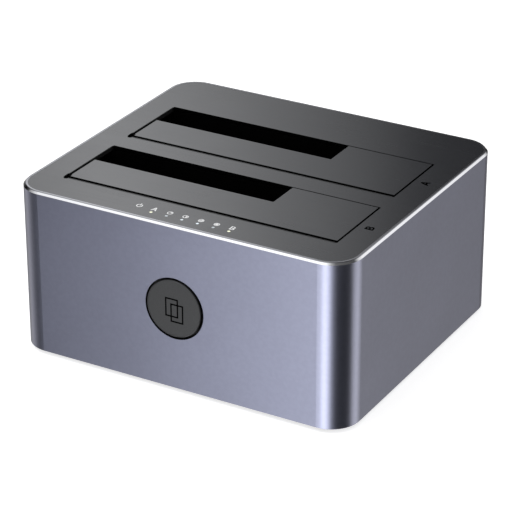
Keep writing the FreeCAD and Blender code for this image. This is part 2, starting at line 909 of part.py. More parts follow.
plunger_end = switch_face + 0.8
finish_node(rod("tact_plunger", "y", 0, plunger_tip, button_level, plunger_radius, plunger_end - plunger_tip),
            "tact_plunger")

tact = new_body("tact_switch")
tact_half = tact_side / 2
pad(tact, "case", "XZ_Plane", switch_face, front_board_face,
    lambda s: rectangle(s, -tact_half, tact_half, button_level - tact_half, button_level + tact_half))
pocket(tact, "bore", "XZ_Plane", switch_face, plunger_end + tact_stroke + 0.2,
       lambda s: circle(s, 0, button_level, plunger_radius + plunger_clearance))

guide = new_body("button_guide")
ring_in = button_radius + button_flange + guide_ring_gap
guide_back = switch_face + 0.3
guide_front = guide_back - guide_plate


def draw_guide_plate(sketch):
    circle(sketch, 0, button_level, ring_in + guide_ring_wall)
    circle(sketch, 0, button_level, guide_bore)


def draw_guide_ring(sketch):
    circle(sketch, 0, button_level, ring_in + guide_ring_wall)
    circle(sketch, 0, button_level, ring_in)


def draw_guide_ears(sketch):
    for x in (-guide_ear, guide_ear):
        circle(sketch, x, button_level, guide_post + 0.6)


def draw_guide_posts(sketch):
    for x in (-guide_ear, guide_ear):
        circle(sketch, x, button_level, guide_post)


def draw_guide_bridges(sketch):
    inner = ring_in + 0.7
    rectangle(sketch, -guide_ear, -inner, button_level - 1.5, button_level + 1.5)
    rectangle(sketch, inner, guide_ear, button_level - 1.5, button_level + 1.5)


pad(guide, "plate", "XZ_Plane", guide_front, guide_back, draw_guide_plate)
pad(guide, "ring", "XZ_Plane", flange_front + 0.3, guide_front, draw_guide_ring)
pad(guide, "bridges", "XZ_Plane", guide_front, guide_back, draw_guide_bridges)
pad(guide, "ears", "XZ_Plane", guide_front, guide_back, draw_guide_ears)
pad(guide, "posts", "XZ_Plane", guide_back, front_board_face, draw_guide_posts)

coil_front = (face_y + button_disc).value + button_spring_wire.value + 0.02
coil_back = guide_front.value - button_spring_wire.value - 0.02
coil_points = []
for step in range(3 * 16 + 1):
    part = step / (3 * 16)
    angle = part * 3 * 2 * math.pi
    reach = button_spring_mean.value
    x = reach * math.cos(angle)
    z = button_level.value + reach * math.sin(angle)
    coil_points.append(FreeCAD.Vector(x, coil_front + part * (coil_back - coil_front), z))
button_spring = doc.addObject("Part::Feature", "button_spring")
button_spring.Shape = wire_solid([coil_points], button_spring_wire.value)
finish_node(button_spring, "button_spring")


# ---- front board, lamps and light guide --------------------------------------------------------------------

front_board = new_body("front_board")


def draw_front_board(sketch):
    rounded(sketch, -front_board_half, front_board_half, front_board_low, front_board_top, 1.0)
    for x, z in front_screw_spots():
        circle(sketch, x, z, screw_hole)


pad(front_board, "plate", "XZ_Plane", front_board_face, front_board_back, draw_front_board)

lamps = []
for step in range(-3, 4):
    x = dot_pitch * step
    low = front_board_top - 1.9
    lamps.append(block("lamp_" + str(step + 3), x - 0.8, x + 0.8, front_board_face - 0.8, front_board_face,
                       low, low + 1.6))
finish_node(joined("status_leds", lamps), "status_leds")

light = new_body("light_guide")
light_top = front_board_top + 2.0


def draw_light_rail(sketch):
    rounded(sketch, -21.0, 21.0, -dot_line - 1.2, front_board_back, 0.5)


def draw_light_posts(sketch):
    for step in range(-2, 4):
        circle(sketch, dot_pitch * step, -dot_line, dot_radius - 0.04)


def draw_power_post(sketch):
    circle(sketch, dot_pitch * -3, -power_line, window_radius - 0.1)


pad(light, "rail", "XY_Plane", front_board_top, light_top, draw_light_rail)
pad(light, "posts", "XY_Plane", light_top, panel_top - 0.03, draw_light_posts)
pad(light, "power_post", "XY_Plane", light_top, panel_top - window_skin - 0.1, draw_power_post)

header_half = 12.7
header_back = front_board_face
finish_node(block("board_header", -header_half, header_half, header_back - 2.5, header_back,
                  board_top, board_top + 8.5), "board_header")


# ---- main board and what is soldered to it -----------------------------------------------------------------

def board_screw_spots():
    spots = []
    for y in (-board_screw_front, board_screw_rear):
        spots.append((-board_screw_x, y))
        spots.append((board_screw_x, y))
    return spots


main_board = new_body("main_board")


def draw_main_board(sketch):
    rounded(sketch, -board_half, board_half, -board_front, board_back, 1.5)
    for x, y in board_screw_spots():
        circle(sketch, x, y, screw_hole)


pad(main_board, "plate", "XY_Plane", board_low, board_top, draw_main_board)


def make_socket(side):
    low, high = socket_span(side)
    left = -socket_left
    right = socket_width - socket_left
    split = left + 14.0
    middle = (low + high) / 2
    socket = new_body("sata_socket_" + side)

    def draw_mouths(sketch):
        rectangle(sketch, left + socket_wall, split, low + socket_wall, high - socket_wall)
        rectangle(sketch, split + socket_wall, right - socket_wall, low + socket_wall, high - socket_wall)

    def draw_tongues(sketch):
        a = middle - tongue_thick / 2
        c = middle + tongue_thick / 2
        end = split - 1.6
        key = a - 1.1
        points = [(left + 2.4, a), (end - 1.2, a), (end - 1.2, key), (end, key), (end, c), (left + 2.4, c)]
        polygon(sketch, points)
        end = right - 2.6
        start = split + 2.2
        points = [(start, key), (start + 1.2, key), (start + 1.2, a), (end, a), (end, c), (start, c)]
        polygon(sketch, points)

    pad(socket, "case", "XY_Plane", board_top, socket_top, lambda s: rectangle(s, left, right, low, high))
    pocket(socket, "mouths", "XY_Plane", socket_top - socket_mouth, socket_top, draw_mouths)
    pad(socket, "tongues", "XY_Plane", socket_top - socket_mouth - 0.2, socket_top - 0.8, draw_tongues)
    contacts = []
    face = middle + tongue_thick / 2
    for index in range(7):
        x = left + 3.0 + contact_pitch * index
        contacts.append(block("data_contact_" + side + str(index), x, x + contact_wide, face,
                              face + contact_thick, socket_top - socket_mouth, socket_top - 1.4))
    for index in range(15):
        x = split + 4.0 + contact_pitch * index
        contacts.append(block("power_contact_" + side + str(index), x, x + contact_wide, face,
                              face + contact_thick, socket_top - socket_mouth, socket_top - 1.4))
    return contacts


all_contacts = make_socket("a") + make_socket("b")
finish_node(joined("sata_contacts", all_contacts), "sata_contacts")

usb_back = half_depth - port_sunk
usb_half = usb_width / 2
usb_high = board_top + usb_tall
usb = new_body("usb_shell")


def usb_outline(inset):
    def draw(sketch):
        low = board_top + inset
        high = usb_high - inset
        half = usb_half - inset
        step_z = high - 5.2
        step_x = half - 1.4
        points = [(usb_x - half, low), (usb_x + half, low), (usb_x + half, step_z)]
        points.append((usb_x + step_x, step_z + 1.2))
        points.append((usb_x + step_x, high))
        points.append((usb_x - step_x, high))
        points.append((usb_x - step_x, step_z + 1.2))
        points.append((usb_x - half, step_z))
        polygon(sketch, points)
    return draw


pad(usb, "shell", "XZ_Plane", usb_back - usb_inside, usb_back, usb_outline(as_size(0)))
before = usb.Shape.Volume
usb_cavity = new_sketch(usb, "cavity", "XZ_Plane", usb_back - usb_inside + 1.5, usb_outline(usb_wall))
usb_cut = usb.newObject("PartDesign::Pocket", "usb_shell_cavity")
usb_cut.Profile = usb_cavity
bind(usb_cut, "Length", usb_inside - 1.5)
doc.recompute()
if usb.Shape.Volume > before - 1e-6:
    raise RuntimeError("the socket shell has no cavity")

usb_deep = usb_back - usb_inside + 1.5
tongue_low = block("usb_tongue_low", usb_x - 2.8, usb_x + 2.8, usb_deep, usb_back - 1.6,
                   board_top + 2.4, board_top + 5.6)
tongue_high = block("usb_tongue_high", usb_x - 3.2, usb_x + 3.2, usb_deep, usb_back - 1.6,
                    board_top + 9.4, board_top + 10.9)
finish_node(joined("usb_tongue", [tongue_low, tongue_high]), "usb_tongue")

jack = new_body("dc_jack")
jack_half = jack_width / 2
jack_face = front_inner - 0.4
pad(jack, "case", "XZ_Plane", jack_face - 12.0, jack_face,
    lambda s: rectangle(s, jack_x - jack_half, jack_x + jack_half, board_top, port_level + jack_half))
pad(jack, "collar", "XZ_Plane", jack_face - 0.2, usb_back, lambda s: circle(s, jack_x, port_level, jack_collar))
pocket(jack, "bore", "XZ_Plane", jack_face - 9.0, usb_back, lambda s: circle(s, jack_x, port_level, jack_bore))
jack_tip = usb_back - 0.8
finish_node(rod("dc_pin", "y", jack_x, jack_face - 9.0, port_level, jack_pin, jack_tip - jack_face + 9.0),
            "dc_pin")

switch = new_body("power_switch")
switch_half = switch_width / 2
cap_back = half_depth + button_proud
cap_front = front_inner - 3.4
switch_rear = cap_front - power_stroke - 0.3
pad(switch, "case", "XZ_Plane", switch_rear - 8.5, switch_rear,
    lambda s: rectangle(s, power_x - switch_half, power_x + switch_half, board_top, port_level + switch_half))
pocket(switch, "bore", "XZ_Plane", switch_rear - 3.5, switch_rear,
       lambda s: circle(s, power_x, port_level, power_stem + power_clearance))

cap = new_body("power_button")
pad(cap, "cap", "XZ_Plane", cap_front, cap_back, lambda s: circle(s, power_x, port_level, power_radius))
pad(cap, "flange", "XZ_Plane", cap_front, cap_front + 1.2,
    lambda s: circle(s, power_x, port_level, power_radius + 0.9))
dress(cap, "Fillet", "rear_edge", 0.4, lambda e: inside(e, (-w, cap_back.value, 0), (w, cap_back.value, 99)))
stem_end = switch_rear - 1.5
finish_node(rod("power_plunger", "y", power_x, stem_end, port_level, power_stem, cap_front - stem_end),
            "power_plunger")

chips = []
chips.append(block("bridge_chip", -6.0, 4.0, -8.0, 2.0, board_top, board_top + 1.1))
chips.append(block("copy_chip", 18.0, 27.0, -36.0, -27.0, board_top, board_top + 1.1))
chips.append(block("memory_chip", -34.0, -29.0, -37.0, -31.0, board_top, board_top + 1.5))
chips.append(block("supply_chip", 30.0, 34.0, 40.0, 45.0, board_top, board_top + 1.4))
finish_node(joined("ic_chips", chips), "ic_chips")

coils = []
for number, spot in enumerate(((28.0, 8.0), (28.0, 16.0), (-20.0, -38.0))):
    coils.append(block("coil_" + str(number), spot[0] - 3.0, spot[0] + 3.0, spot[1] - 3.0, spot[1] + 3.0,
                       board_top, board_top + 2.8))
finish_node(joined("inductors", coils), "inductors")

cans = []
for number, spot in enumerate(((36.0, 0.0), (36.0, 7.0), (30.0, -44.0), (37.0, 38.0))):
    cans.append(rod("can_" + str(number), "z", spot[0], spot[1], board_top, 2.5, 5.0))
finish_node(joined("capacitors", cans), "capacitors")


# ---- base plate and feet -----------------------------------------------------------------------------------

base = new_body("base_plate")
base_top = sleeve_low + base_thick


def foot_spots():
    return [(-foot_x, -foot_front), (foot_x, -foot_front), (-foot_x, foot_rear), (foot_x, foot_rear)]


def draw_base_bosses(sketch):
    for x, y in leg_spots():
        circle(sketch, x, y, leg_radius)


def draw_board_stands(sketch):
    for x, y in board_screw_spots():
        circle(sketch, x, y, boss_radius)


def draw_base_holes(sketch):
    for x, y in leg_spots():
        circle(sketch, x, y, leg_pilot + 0.1)


def draw_counterbores(sketch):
    for x, y in leg_spots():
        circle(sketch, x, y, counterbore)


def draw_stand_pilots(sketch):
    for x, y in board_screw_spots():
        circle(sketch, x, y, pilot_radius)


def draw_foot_seats(sketch):
    for x, y in foot_spots():
        circle(sketch, x, y, foot_radius + foot_gap)


def draw_vents(sketch):
    for row in (-1, 0, 1):
        for step in range(-3, 4):
            x = vent_pitch * step
            y = vent_long * row * 1.25
            rounded(sketch, x - vent_wide / 2, x + vent_wide / 2, y - vent_long / 2, y + vent_long / 2, 1.0)


pad(base, "plate", "XY_Plane", sleeve_low, base_top, inset_outline(rim_wall + seat_gap))
pad(base, "leg_bosses", "XY_Plane", base_top, leg_foot, draw_base_bosses)
pad(base, "board_stands", "XY_Plane", base_top, board_low, draw_board_stands)
pocket(base, "leg_holes", "XY_Plane", sleeve_low, leg_foot, draw_base_holes)
pocket(base, "counterbores", "XY_Plane", sleeve_low, sleeve_low + counterbore_deep, draw_counterbores)
pocket(base, "stand_pilots", "XY_Plane", board_low - 3.4, board_low, draw_stand_pilots)
pocket(base, "foot_seats", "XY_Plane", sleeve_low, sleeve_low + foot_sunk, draw_foot_seats)
pocket(base, "vents", "XY_Plane", sleeve_low, base_top, draw_vents)

feet = []
for number, spot in enumerate(foot_spots()):
    feet.append(rod("foot_" + str(number), "z", spot[0], spot[1], 0, foot_radius, foot_proud + foot_sunk))
feet_block = joined("feet_round", feet)
doc.recompute()
feet_node = doc.addObject("Part::Chamfer", "feet")
feet_node.Base = feet_block
rims = []
for index, edge in enumerate(feet_block.Shape.Edges):
    if inside(edge, (-w, -d, 0), (w, d, 0)):
        rims.append((index + 1, 0.4, 0.4))
feet_node.Edges = rims
finish_node(feet_node, "feet")


# ---- screws ------------------------------------------------------------------------------------------------

def make_screws(name, spots, shank, length, direction, cross):
    """Pan-head screws. Each spot is the point under the head; direction is where the shank points."""
    pieces = []
    tools = []
    half = cross_long / 2
    for number, spot in enumerate(spots):
        x, y, z = spot
        label = name + "_" + str(number)
        if direction == "up":
            pieces.append(rod(label + "_head", "z", x, y, z - head_tall, head_radius, head_tall))
            pieces.append(rod(label + "_shank", "z", x, y, z, shank, length))
            low = z - head_tall
            spans = (low, low + cross_deep)
        if direction == "down":
            pieces.append(rod(label + "_head", "z", x, y, z, head_radius, head_tall))
            pieces.append(rod(label + "_shank", "z", x, y, z - length, shank, length))
            high = z + head_tall
            spans = (high - cross_deep, high)
        if direction == "back":
            pieces.append(rod(label + "_head", "y", x, y - head_tall, z, head_radius, head_tall))
            pieces.append(rod(label + "_shank", "y", x, y, z, shank, length))
            low = y - head_tall
            spans = (low, low + cross_deep)
        if not cross:
            continue
        thin = cross_wide / 2
        tools.append(block(label + "_slot_a", x - half, x + half, y - thin, y + thin, spans[0], spans[1]))
        tools.append(block(label + "_slot_b", x - thin, x + thin, y - half, y + half, spans[0], spans[1]))
    if not cross:
        return finish_node(joined(name, pieces), name)
    return finish_node(minus(name, joined(name + "_blanks", pieces), joined(name + "_slots", tools)), name)


base_spots = [(x, y, sleeve_low + counterbore_deep) for x, y in leg_spots()]
make_screws("base_screws", base_spots, big_shank, 9.0, "up", True)
ear_spots = [(x, y, ear_top - ear_thick) for x, y in boss_spots()]
make_screws("cage_screws", ear_spots, small_shank, 6.0, "up", True)
stand_spots = [(x, y, board_top) for x, y in board_screw_spots()]
make_screws("board_screws", stand_spots, small_shank, 4.4, "down", True)
front_spots = [(x, front_board_face, z) for x, z in front_screw_spots()]
make_screws("front_board_screws", front_spots, small_shank, 3.2, "back", False)

doc.recompute()


# ---- check and write ---------------------------------------------------------------------------------------

for item in doc.Objects:
    if "Invalid" in item.State or "Error" in item.State:
        raise RuntimeError(item.Name + " did not build")
for item in nodes:
    shape = item.Shape
    if shape.isNull() or not shape.isValid() or not shape.Solids:
        raise RuntimeError(item.Label + " has no sound solid")

os.makedirs("parts", exist_ok=True)
for item in nodes:
    item.Shape.exportStep("parts/" + item.Label + ".step")
    print(item.Label, len(item.Shape.Solids), round(item.Shape.Volume, 2))
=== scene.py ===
# %% [markdown]
# # A two-bay drive duplicator, dressed around its frame
# The frame is the solid model of the object: every hard part is in it already, at its
# true size. This lesson gives those parts their real finishes, adds the printed marks
# that are too thin to be worth a solid, and sets up a small studio round them.
# %% Load the frame and note its box
import json
import math

import bpy
from mathutils import Matrix, Vector


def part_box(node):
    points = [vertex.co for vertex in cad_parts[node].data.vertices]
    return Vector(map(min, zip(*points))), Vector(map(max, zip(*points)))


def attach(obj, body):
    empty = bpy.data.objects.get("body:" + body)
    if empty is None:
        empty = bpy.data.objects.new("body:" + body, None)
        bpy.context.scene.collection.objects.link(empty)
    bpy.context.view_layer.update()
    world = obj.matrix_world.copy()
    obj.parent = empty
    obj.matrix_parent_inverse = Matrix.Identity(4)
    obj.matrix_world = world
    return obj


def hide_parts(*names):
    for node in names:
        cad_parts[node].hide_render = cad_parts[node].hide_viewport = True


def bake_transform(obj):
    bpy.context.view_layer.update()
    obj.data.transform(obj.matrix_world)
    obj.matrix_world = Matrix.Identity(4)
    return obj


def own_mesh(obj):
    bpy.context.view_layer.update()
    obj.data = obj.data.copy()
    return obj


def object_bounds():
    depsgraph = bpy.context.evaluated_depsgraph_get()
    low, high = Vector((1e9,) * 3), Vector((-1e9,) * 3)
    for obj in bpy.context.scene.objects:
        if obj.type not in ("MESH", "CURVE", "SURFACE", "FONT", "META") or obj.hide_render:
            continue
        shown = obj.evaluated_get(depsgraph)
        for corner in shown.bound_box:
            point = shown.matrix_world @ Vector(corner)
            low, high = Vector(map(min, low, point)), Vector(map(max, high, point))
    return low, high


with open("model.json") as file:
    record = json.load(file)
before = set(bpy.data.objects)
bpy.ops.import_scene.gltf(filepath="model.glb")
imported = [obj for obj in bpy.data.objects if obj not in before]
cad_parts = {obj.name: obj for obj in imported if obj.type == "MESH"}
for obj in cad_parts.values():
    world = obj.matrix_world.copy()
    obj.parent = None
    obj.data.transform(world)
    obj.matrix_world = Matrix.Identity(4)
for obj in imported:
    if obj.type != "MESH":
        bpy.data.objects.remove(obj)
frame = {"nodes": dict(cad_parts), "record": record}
cad_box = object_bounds()
MM = 0.001
nodes = frame["nodes"]
box_mm = [round((high - low) / MM, 1) for low, high in zip(*cad_box)]
print(len(nodes), "parts in a box of", box_mm, "mm")

# %% [markdown]
# ## The camera
# A table-top product is shot from a little above with a long lens, which keeps its
# edges nearly parallel. The camera stands about 0.83 m away, to the front right, and
# its small shift frames the object a little off the middle, as a view camera would.
# %% Place the camera
AZIMUTH, ELEVATION, ROLL = (math.radians(a) for a in (29.807, 25.784, -0.115))
DISTANCE = 834.05 * MM
AIM = Vector((0, 0, 31.2 * MM))
back = Vector((math.sin(AZIMUTH) * math.cos(ELEVATION),
               -math.cos(AZIMUTH) * math.cos(ELEVATION), math.sin(ELEVATION)))
lens = bpy.data.cameras.new("camera")
lens.sensor_width, lens.lens = 36, 169.51
lens.shift_x, lens.shift_y = -0.00605, -0.0238
lens.clip_start, lens.clip_end = 0.05, 50
camera = bpy.data.objects.new("camera", lens)
bpy.context.scene.collection.objects.link(camera)
camera.rotation_mode = "QUATERNION"
camera.location = AIM + back * DISTANCE
level = (-back).to_track_quat("-Z", "Y")
camera.rotation_quaternion = level @ Matrix.Rotation(ROLL, 4, "Z").to_quaternion()
bpy.context.scene.camera = camera
bpy.context.scene.view_settings.view_transform = "Standard"
print("camera at", [round(c / MM) for c in camera.location], "mm")

# %% [markdown]
# ## Colours and nodes
# A finish in Blender is a tree of nodes. Adding a node, giving it its settings and
# linking its inputs are always the same moves, so one function does them for any kind
# of node. Colours are written as sRGB hex, as a paint chart gives them, and one
# function turns them to the linear values that the shaders work in.
# %% A function for colours
def colour(hex_text):
    """Linear RGBA of an sRGB hex colour."""
    parts = [int(hex_text[i:i + 2], 16) / 255 for i in (1, 3, 5)]
    return [p / 12.92 if p <= 0.04045 else ((p + 0.055) / 1.055) ** 2.4
            for p in parts] + [1.0]


print("mid grey is", round(colour("#808080")[0], 3), "in linear light")

# %% Functions for nodes and finishes
def add(tree, kind, **settings):
    """Add a node. A setting is a property of it, or, after a _, an input's name or number."""
    node = tree.nodes.new("ShaderNode" + kind)
    for name in sorted(settings, key=lambda n: n.startswith("_")):
        value = settings[name]
        if not name.startswith("_"):
            setattr(node, name, value)
            continue
        key = name[1:].replace("_", " ")
        socket = node.inputs[int(key) if key.isdigit() else key]
        if isinstance(value, bpy.types.NodeSocket):
            tree.links.new(value, socket)
        else:
            socket.default_value = value
    return node


def new_finish(name, **shader_settings):
    """Make a material with one Principled shader; the result is it, its tree and the shader."""
    made = bpy.data.materials.new(name)
    made.use_nodes = True
    tree = made.node_tree
    tree.nodes.clear()
    shader = add(tree, "BsdfPrincipled", **shader_settings)
    add(tree, "OutputMaterial", _Surface=shader.outputs["BSDF"])
    return made, tree, shader


def reopened(made):
    """The tree of a finished material, its shader, and the place of each point on a piece."""
    tree = made.node_tree
    shader = next(n for n in tree.nodes if n.type == "BSDF_PRINCIPLED")
    return tree, shader, add(tree, "TexCoord").outputs["Object"]


def per_mm(size_mm):
    """A noise texture's scale that gives features about size_mm across."""
    return 1 / (size_mm * MM)


print("grain 0.5 mm across is noise at scale", round(per_mm(0.5)))

# %% [markdown]
# ## Moulded plastics
# The lid, flaps, base and cage are injection-moulded ABS. The mould was spark-eroded,
# which leaves a fine even grain that scatters the light, so the plastic looks satin
# and not glossy. It could be one flat colour with a roughness, but then it looks like
# paper: the real one has grain under the light, patches where the grain is a little
# shinier from handling, and a slow drift in tone from the flow of the melt. So one
# function builds all three from noise, each at its real scale. A coated part also has
# its coat here, on the faces that look one way; the faces turned away from it are
# painted black as shade.
# %% A function for grained ABS
def grained(name, skin, rough, ior=1.5, grain_mm=0.5, depth_mm=0.012, patch_mm=14, flow=0.06,
            coat_and_shade_axis=None, hairline=0.0):
    """Moulded plastic with a fine grain. The axis and sign given for the coat pick the
    faces that have the satin coat; the rest is painted black as shade."""
    made, tree, shader = new_finish(name, _IOR=ior)
    where = add(tree, "TexCoord")
    place = where.outputs["Object"]
    grain = add(tree, "TexNoise", _Vector=place, _Scale=per_mm(grain_mm), _Detail=4.0,
                _Roughness=0.6)
    patch = add(tree, "TexNoise", _Vector=place, _Scale=per_mm(patch_mm), _Detail=2.0)
    skin_colour = colour(skin)
    pale = [min(1, c * (1 + flow)) for c in skin_colour[:3]] + [1]
    deep = [c * (1 - flow) for c in skin_colour[:3]] + [1]
    drift = add(tree, "Mix", data_type="RGBA", _Factor=patch.outputs["Fac"], _6=deep, _7=pale)
    speck = add(tree, "MapRange", _Value=grain.outputs["Fac"], _1=0.35, _2=0.65,
                _3=0.93, _4=1.07)
    toned = add(tree, "VectorMath", operation="SCALE", _0=drift.outputs[2], _Scale=speck.outputs[0])
    tone = toned.outputs[0]
    sheen = add(tree, "MapRange", _Value=patch.outputs["Fac"], _1=0.3, _2=0.7,
                _3=rough - 0.02, _4=rough + 0.02)
    gloss = sheen.outputs[0]
    if hairline:
        # brushed lines about 0.8 mm apart and 40 mm long, along X: the real ones are
        # finer, and are drawn this coarse so that they show
        comb = add(tree, "Mapping", _Vector=place, _Scale=(0.02, 1, 1))
        hairs = add(tree, "TexNoise", _Vector=comb.outputs[0], _Scale=per_mm(0.8), _Detail=3.0)
        lines = add(tree, "MapRange", _Value=hairs.outputs["Fac"], _1=0.3, _2=0.7,
                    _3=-hairline, _4=hairline)
        gloss = add(tree, "Math", operation="ADD", _0=gloss, _1=lines.outputs[0]).outputs[0]
    if coat_and_shade_axis:
        axis, sign = coat_and_shade_axis
        facing = add(tree, "SeparateXYZ", _Vector=where.outputs["Normal"])
        side = add(tree, "Math", operation="MULTIPLY", _0=facing.outputs[axis], _1=sign)
        # painted shade: the coat fades to black as the surface turns away, so a rounded lip
        # darkens softly
        coat_vs_shade = add(tree, "MapRange", _Value=side.outputs[0], _1=0.75, _2=0.99)
        tone = add(tree, "Mix", data_type="RGBA", _Factor=coat_vs_shade.outputs[0],
                   _6=colour("#030303"), _7=tone).outputs[2]
        gloss = add(tree, "Mix", data_type="FLOAT", _Factor=coat_vs_shade.outputs[0],
                    _2=0.25, _3=gloss).outputs[0]
    tree.links.new(tone, shader.inputs["Base Color"])
    tree.links.new(gloss, shader.inputs["Roughness"])
    lift = add(tree, "Bump", _Height=grain.outputs["Fac"], _Strength=0.35, _Distance=depth_mm * MM)
    tree.links.new(lift.outputs["Normal"], shader.inputs["Normal"])
    return made


print("grained ABS ready")

# %% [markdown]
# ## Lid and flaps
# The lid and the flaps are ABS, sprayed from above with a satin charcoal coat.
# The coat takes the light softly and shows faint brushed lines. The cut edges of the
# bays face away from the top and are painted black as shade. Beside those edges a
# band of the lid is painted black and matt as shade. The shaded lips could be strips
# of their own, but they are a change of colour and not of shape, so the shader finds
# them by their distance from each bay's outline.
# %% Coat the lid and the flaps
lid_coat = grained("satin_coated_abs_lid", "#1F2024", 0.24, coat_and_shade_axis=("Z", 1), hairline=0.03)
flap_coat = grained("satin_coated_abs_flap", "#1F2024", 0.24, coat_and_shade_axis=("Z", 1), hairline=0.02)
print("coated:", lid_coat.name, flap_coat.name)

# %% Paint shade along the lips of the bays
# widths of the painted shade beside the ends and the front of each bay
END_SHADE_MM, FRONT_SHADE_MM = 0.5, 1.4
# The bays are 104 by 30.15 mm. Their back lip is crisp and has no painted shade, so
# each opening here stops the width of the front shade short of it.
BAY_LEFT_MM, BAY_RIGHT_MM, BAY_DEPTH_MM = -52, 51.6, 28.75
BAY_FRONTS_MM = (-40.45, -0.45)


def shade_lips(made, openings):
    """Painted shade, black and matt, along the lips of openings; each is x0, y0, x1, y1 in
    millimetres.
    """
    tree, shader, place = reopened(made)
    nearest = None
    for x0, y0, x1, y1 in openings:
        centre = [(x0 + x1) / 2 * MM, (y0 + y1) / 2 * MM, 0]
        half = [(x1 - x0) / 2 * MM, (y1 - y0) / 2 * MM, 0]
        off = add(tree, "VectorMath", operation="SUBTRACT", _0=place, _1=centre)
        out = add(tree, "VectorMath", operation="ABSOLUTE", _0=off.outputs[0])
        past = add(tree, "VectorMath", operation="SUBTRACT", _0=out.outputs[0], _1=half)
        clear = add(tree, "VectorMath", operation="MAXIMUM", _0=past.outputs[0], _1=(0, 0, 0))
        # 1 at the outer edge of the painted shade, which is nearer at the ends than in front
        share = add(tree, "VectorMath", operation="MULTIPLY", _0=clear.outputs[0],
                    _1=(1 / (END_SHADE_MM * MM), 1 / (FRONT_SHADE_MM * MM), 0))
        far = add(tree, "VectorMath", operation="LENGTH", _0=share.outputs[0]).outputs["Value"]
        if nearest is not None:
            far = add(tree, "Math", operation="MINIMUM", _0=nearest, _1=far).outputs[0]
        nearest = far
    lip_shade = add(tree, "MapRange", interpolation_type="SMOOTHSTEP", _Value=nearest,
              _3=1.0, _4=0.0).outputs[0]
    was = {name: shader.inputs[name].links[0].from_socket
           for name in ("Base Color", "Roughness")}
    # painted shade: the lips' colour is mixed to black, with a matt roughness
    tone = add(tree, "Mix", data_type="RGBA", _Factor=lip_shade, _6=was["Base Color"],
               _7=colour("#030303"))
    tree.links.new(tone.outputs[2], shader.inputs["Base Color"])
    gloss = add(tree, "Mix", data_type="FLOAT", _Factor=lip_shade, _2=was["Roughness"], _3=0.9)
    tree.links.new(gloss.outputs[0], shader.inputs["Roughness"])


shade_lips(lid_coat, [(BAY_LEFT_MM, y, BAY_RIGHT_MM, y + BAY_DEPTH_MM) for y in BAY_FRONTS_MM])
print("lips of", END_SHADE_MM, "to", FRONT_SHADE_MM, "mm round", len(BAY_FRONTS_MM), "bays")

# %% [markdown]
# ## The copy button's coat
# The button is the same ABS with a paler satin coat on its face and edge, so its
# rounded edge catches a thin crescent of light. Its outermost rim is painted black as
# shade, so the dark gap round the cap reads wider. The shaded rim could be a ring of its
# own, but it is only a change of colour, so it too is found by distance, here from the
# button's middle.
# %% Coat the copy button
button_abs = grained("satin_coated_abs_button", "#434446", 0.42, grain_mm=0.45)
CAP_R_MM = 10.4


def shade_rim(made, node, rim_shade_mm):
    """Paint shade on the rim of a round front face: black over the outermost width given, then
    fading in.
    """
    low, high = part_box(node)
    tree, shader, place = reopened(made)
    level = add(tree, "VectorMath", operation="MULTIPLY", _0=place, _1=(1, 0, 1))
    reach = add(tree, "VectorMath", operation="DISTANCE", _0=level.outputs[0],
                _1=(0, 0, (low.z + high.z) / 2))
    rim = add(tree, "MapRange", interpolation_type="SMOOTHSTEP", _Value=reach.outputs["Value"],
              _1=CAP_R_MM * MM - 2 * rim_shade_mm * MM, _2=CAP_R_MM * MM - rim_shade_mm * MM)
    # painted shade: the rim's colour is mixed to near black
    tone = add(tree, "Mix", data_type="RGBA", _Factor=rim.outputs[0],
               _6=shader.inputs["Base Color"].links[0].from_socket, _7=colour("#050505"))
    tree.links.new(tone.outputs[2], shader.inputs["Base Color"])


shade_rim(button_abs, "clone_button", 0.12)
print("button cap", 2 * CAP_R_MM, "mm across")

# %% [markdown]
# ## The plastics that are hardly seen
# The base, the cage and the parts on the boards are moulded too, each in the plastic
# that its work asks for. They could all be black, but a little difference in grain and
# shine is what tells one from the next down in the bays and round the rear sockets.
# %% The other plastics
# Plain black ABS under the lid. The base's coarse grain kills reflections, and the
# cage is smooth, so that drives slide in, and darker than anything round it.
base_abs = grained("spark_grained_abs_base", "#17171A", 0.55, grain_mm=0.8, depth_mm=0.03)
cage_abs = grained("black_abs_cage", "#030303", 0.3, grain_mm=0.8, depth_mm=0.004)
# The power button has the same satin skin as the lid, but no coat: black, a soft shine.
power_abs = grained("satin_black_abs_power_button", "#121214", 0.38, grain_mm=0.4)
# Nylon stands the heat of soldering. With glass in it, it is a dull, slightly grey black.
switch_nylon = grained("black_nylon_switch", "#0E0E0F", 0.5)
socket_nylon = grained("glass_filled_nylon_socket", "#070708", 0.55, grain_mm=0.3)
# The tongue of a fast USB inlet is dyed blue, as a sign of its speed.
tongue_nylon = grained("blue_nylon_usb_tongue", "#1B4FA8", 0.42, grain_mm=0.4)
# Chips are moulded in filled epoxy, matt as slate. Coil cores are pressed ferrite, which
# is greyer and rougher.
chip_resin = grained("moulded_epoxy_chip", "#0B0B0C", 0.6, grain_mm=0.2)
ferrite_core = grained("pressed_ferrite_inductor", "#2C2C2E", 0.65, grain_mm=0.25, depth_mm=0.03)
# Rubber is softer and has no clear grain: a broad weak shine and dust in its pores.
foot_rubber = grained("moulded_rubber_foot", "#111111", 0.8, grain_mm=0.35, depth_mm=0.05,
                      flow=0.2)
print("plastics:", [m.name for m in bpy.data.materials if "abs" in m.name])

# %% [markdown]
# ## Anodised aluminium sleeve
# The sleeve is extruded aluminium, bead-blasted and anodised a blue-grey. Blasting
# leaves pits about 0.1 mm across; the clear dyed oxide over them gives a silky metal
# that blurs what it mirrors. After anodising, a cutter runs once round the top edge
# and takes the dye off, which leaves a narrow bright bevel. The bevel could be its own
# piece, but it is the same metal, so here the shader finds it: only the bevel and the
# rim behind it have normals that point up.
# %% The sleeve's finish
# The dyed rim starts 0.2 mm under the top. The copy button's hole wall is painted black
# as shade, with a ring of painted shade 0.15 to 0.45 mm round it, so the gap reads as
# one dark line, heavier below.
RIM_Z_MM = 61.0
SHADE_RING_AT_MM, SHADE_RING_R_MM = (0, -55.1, 31.05), 11.18


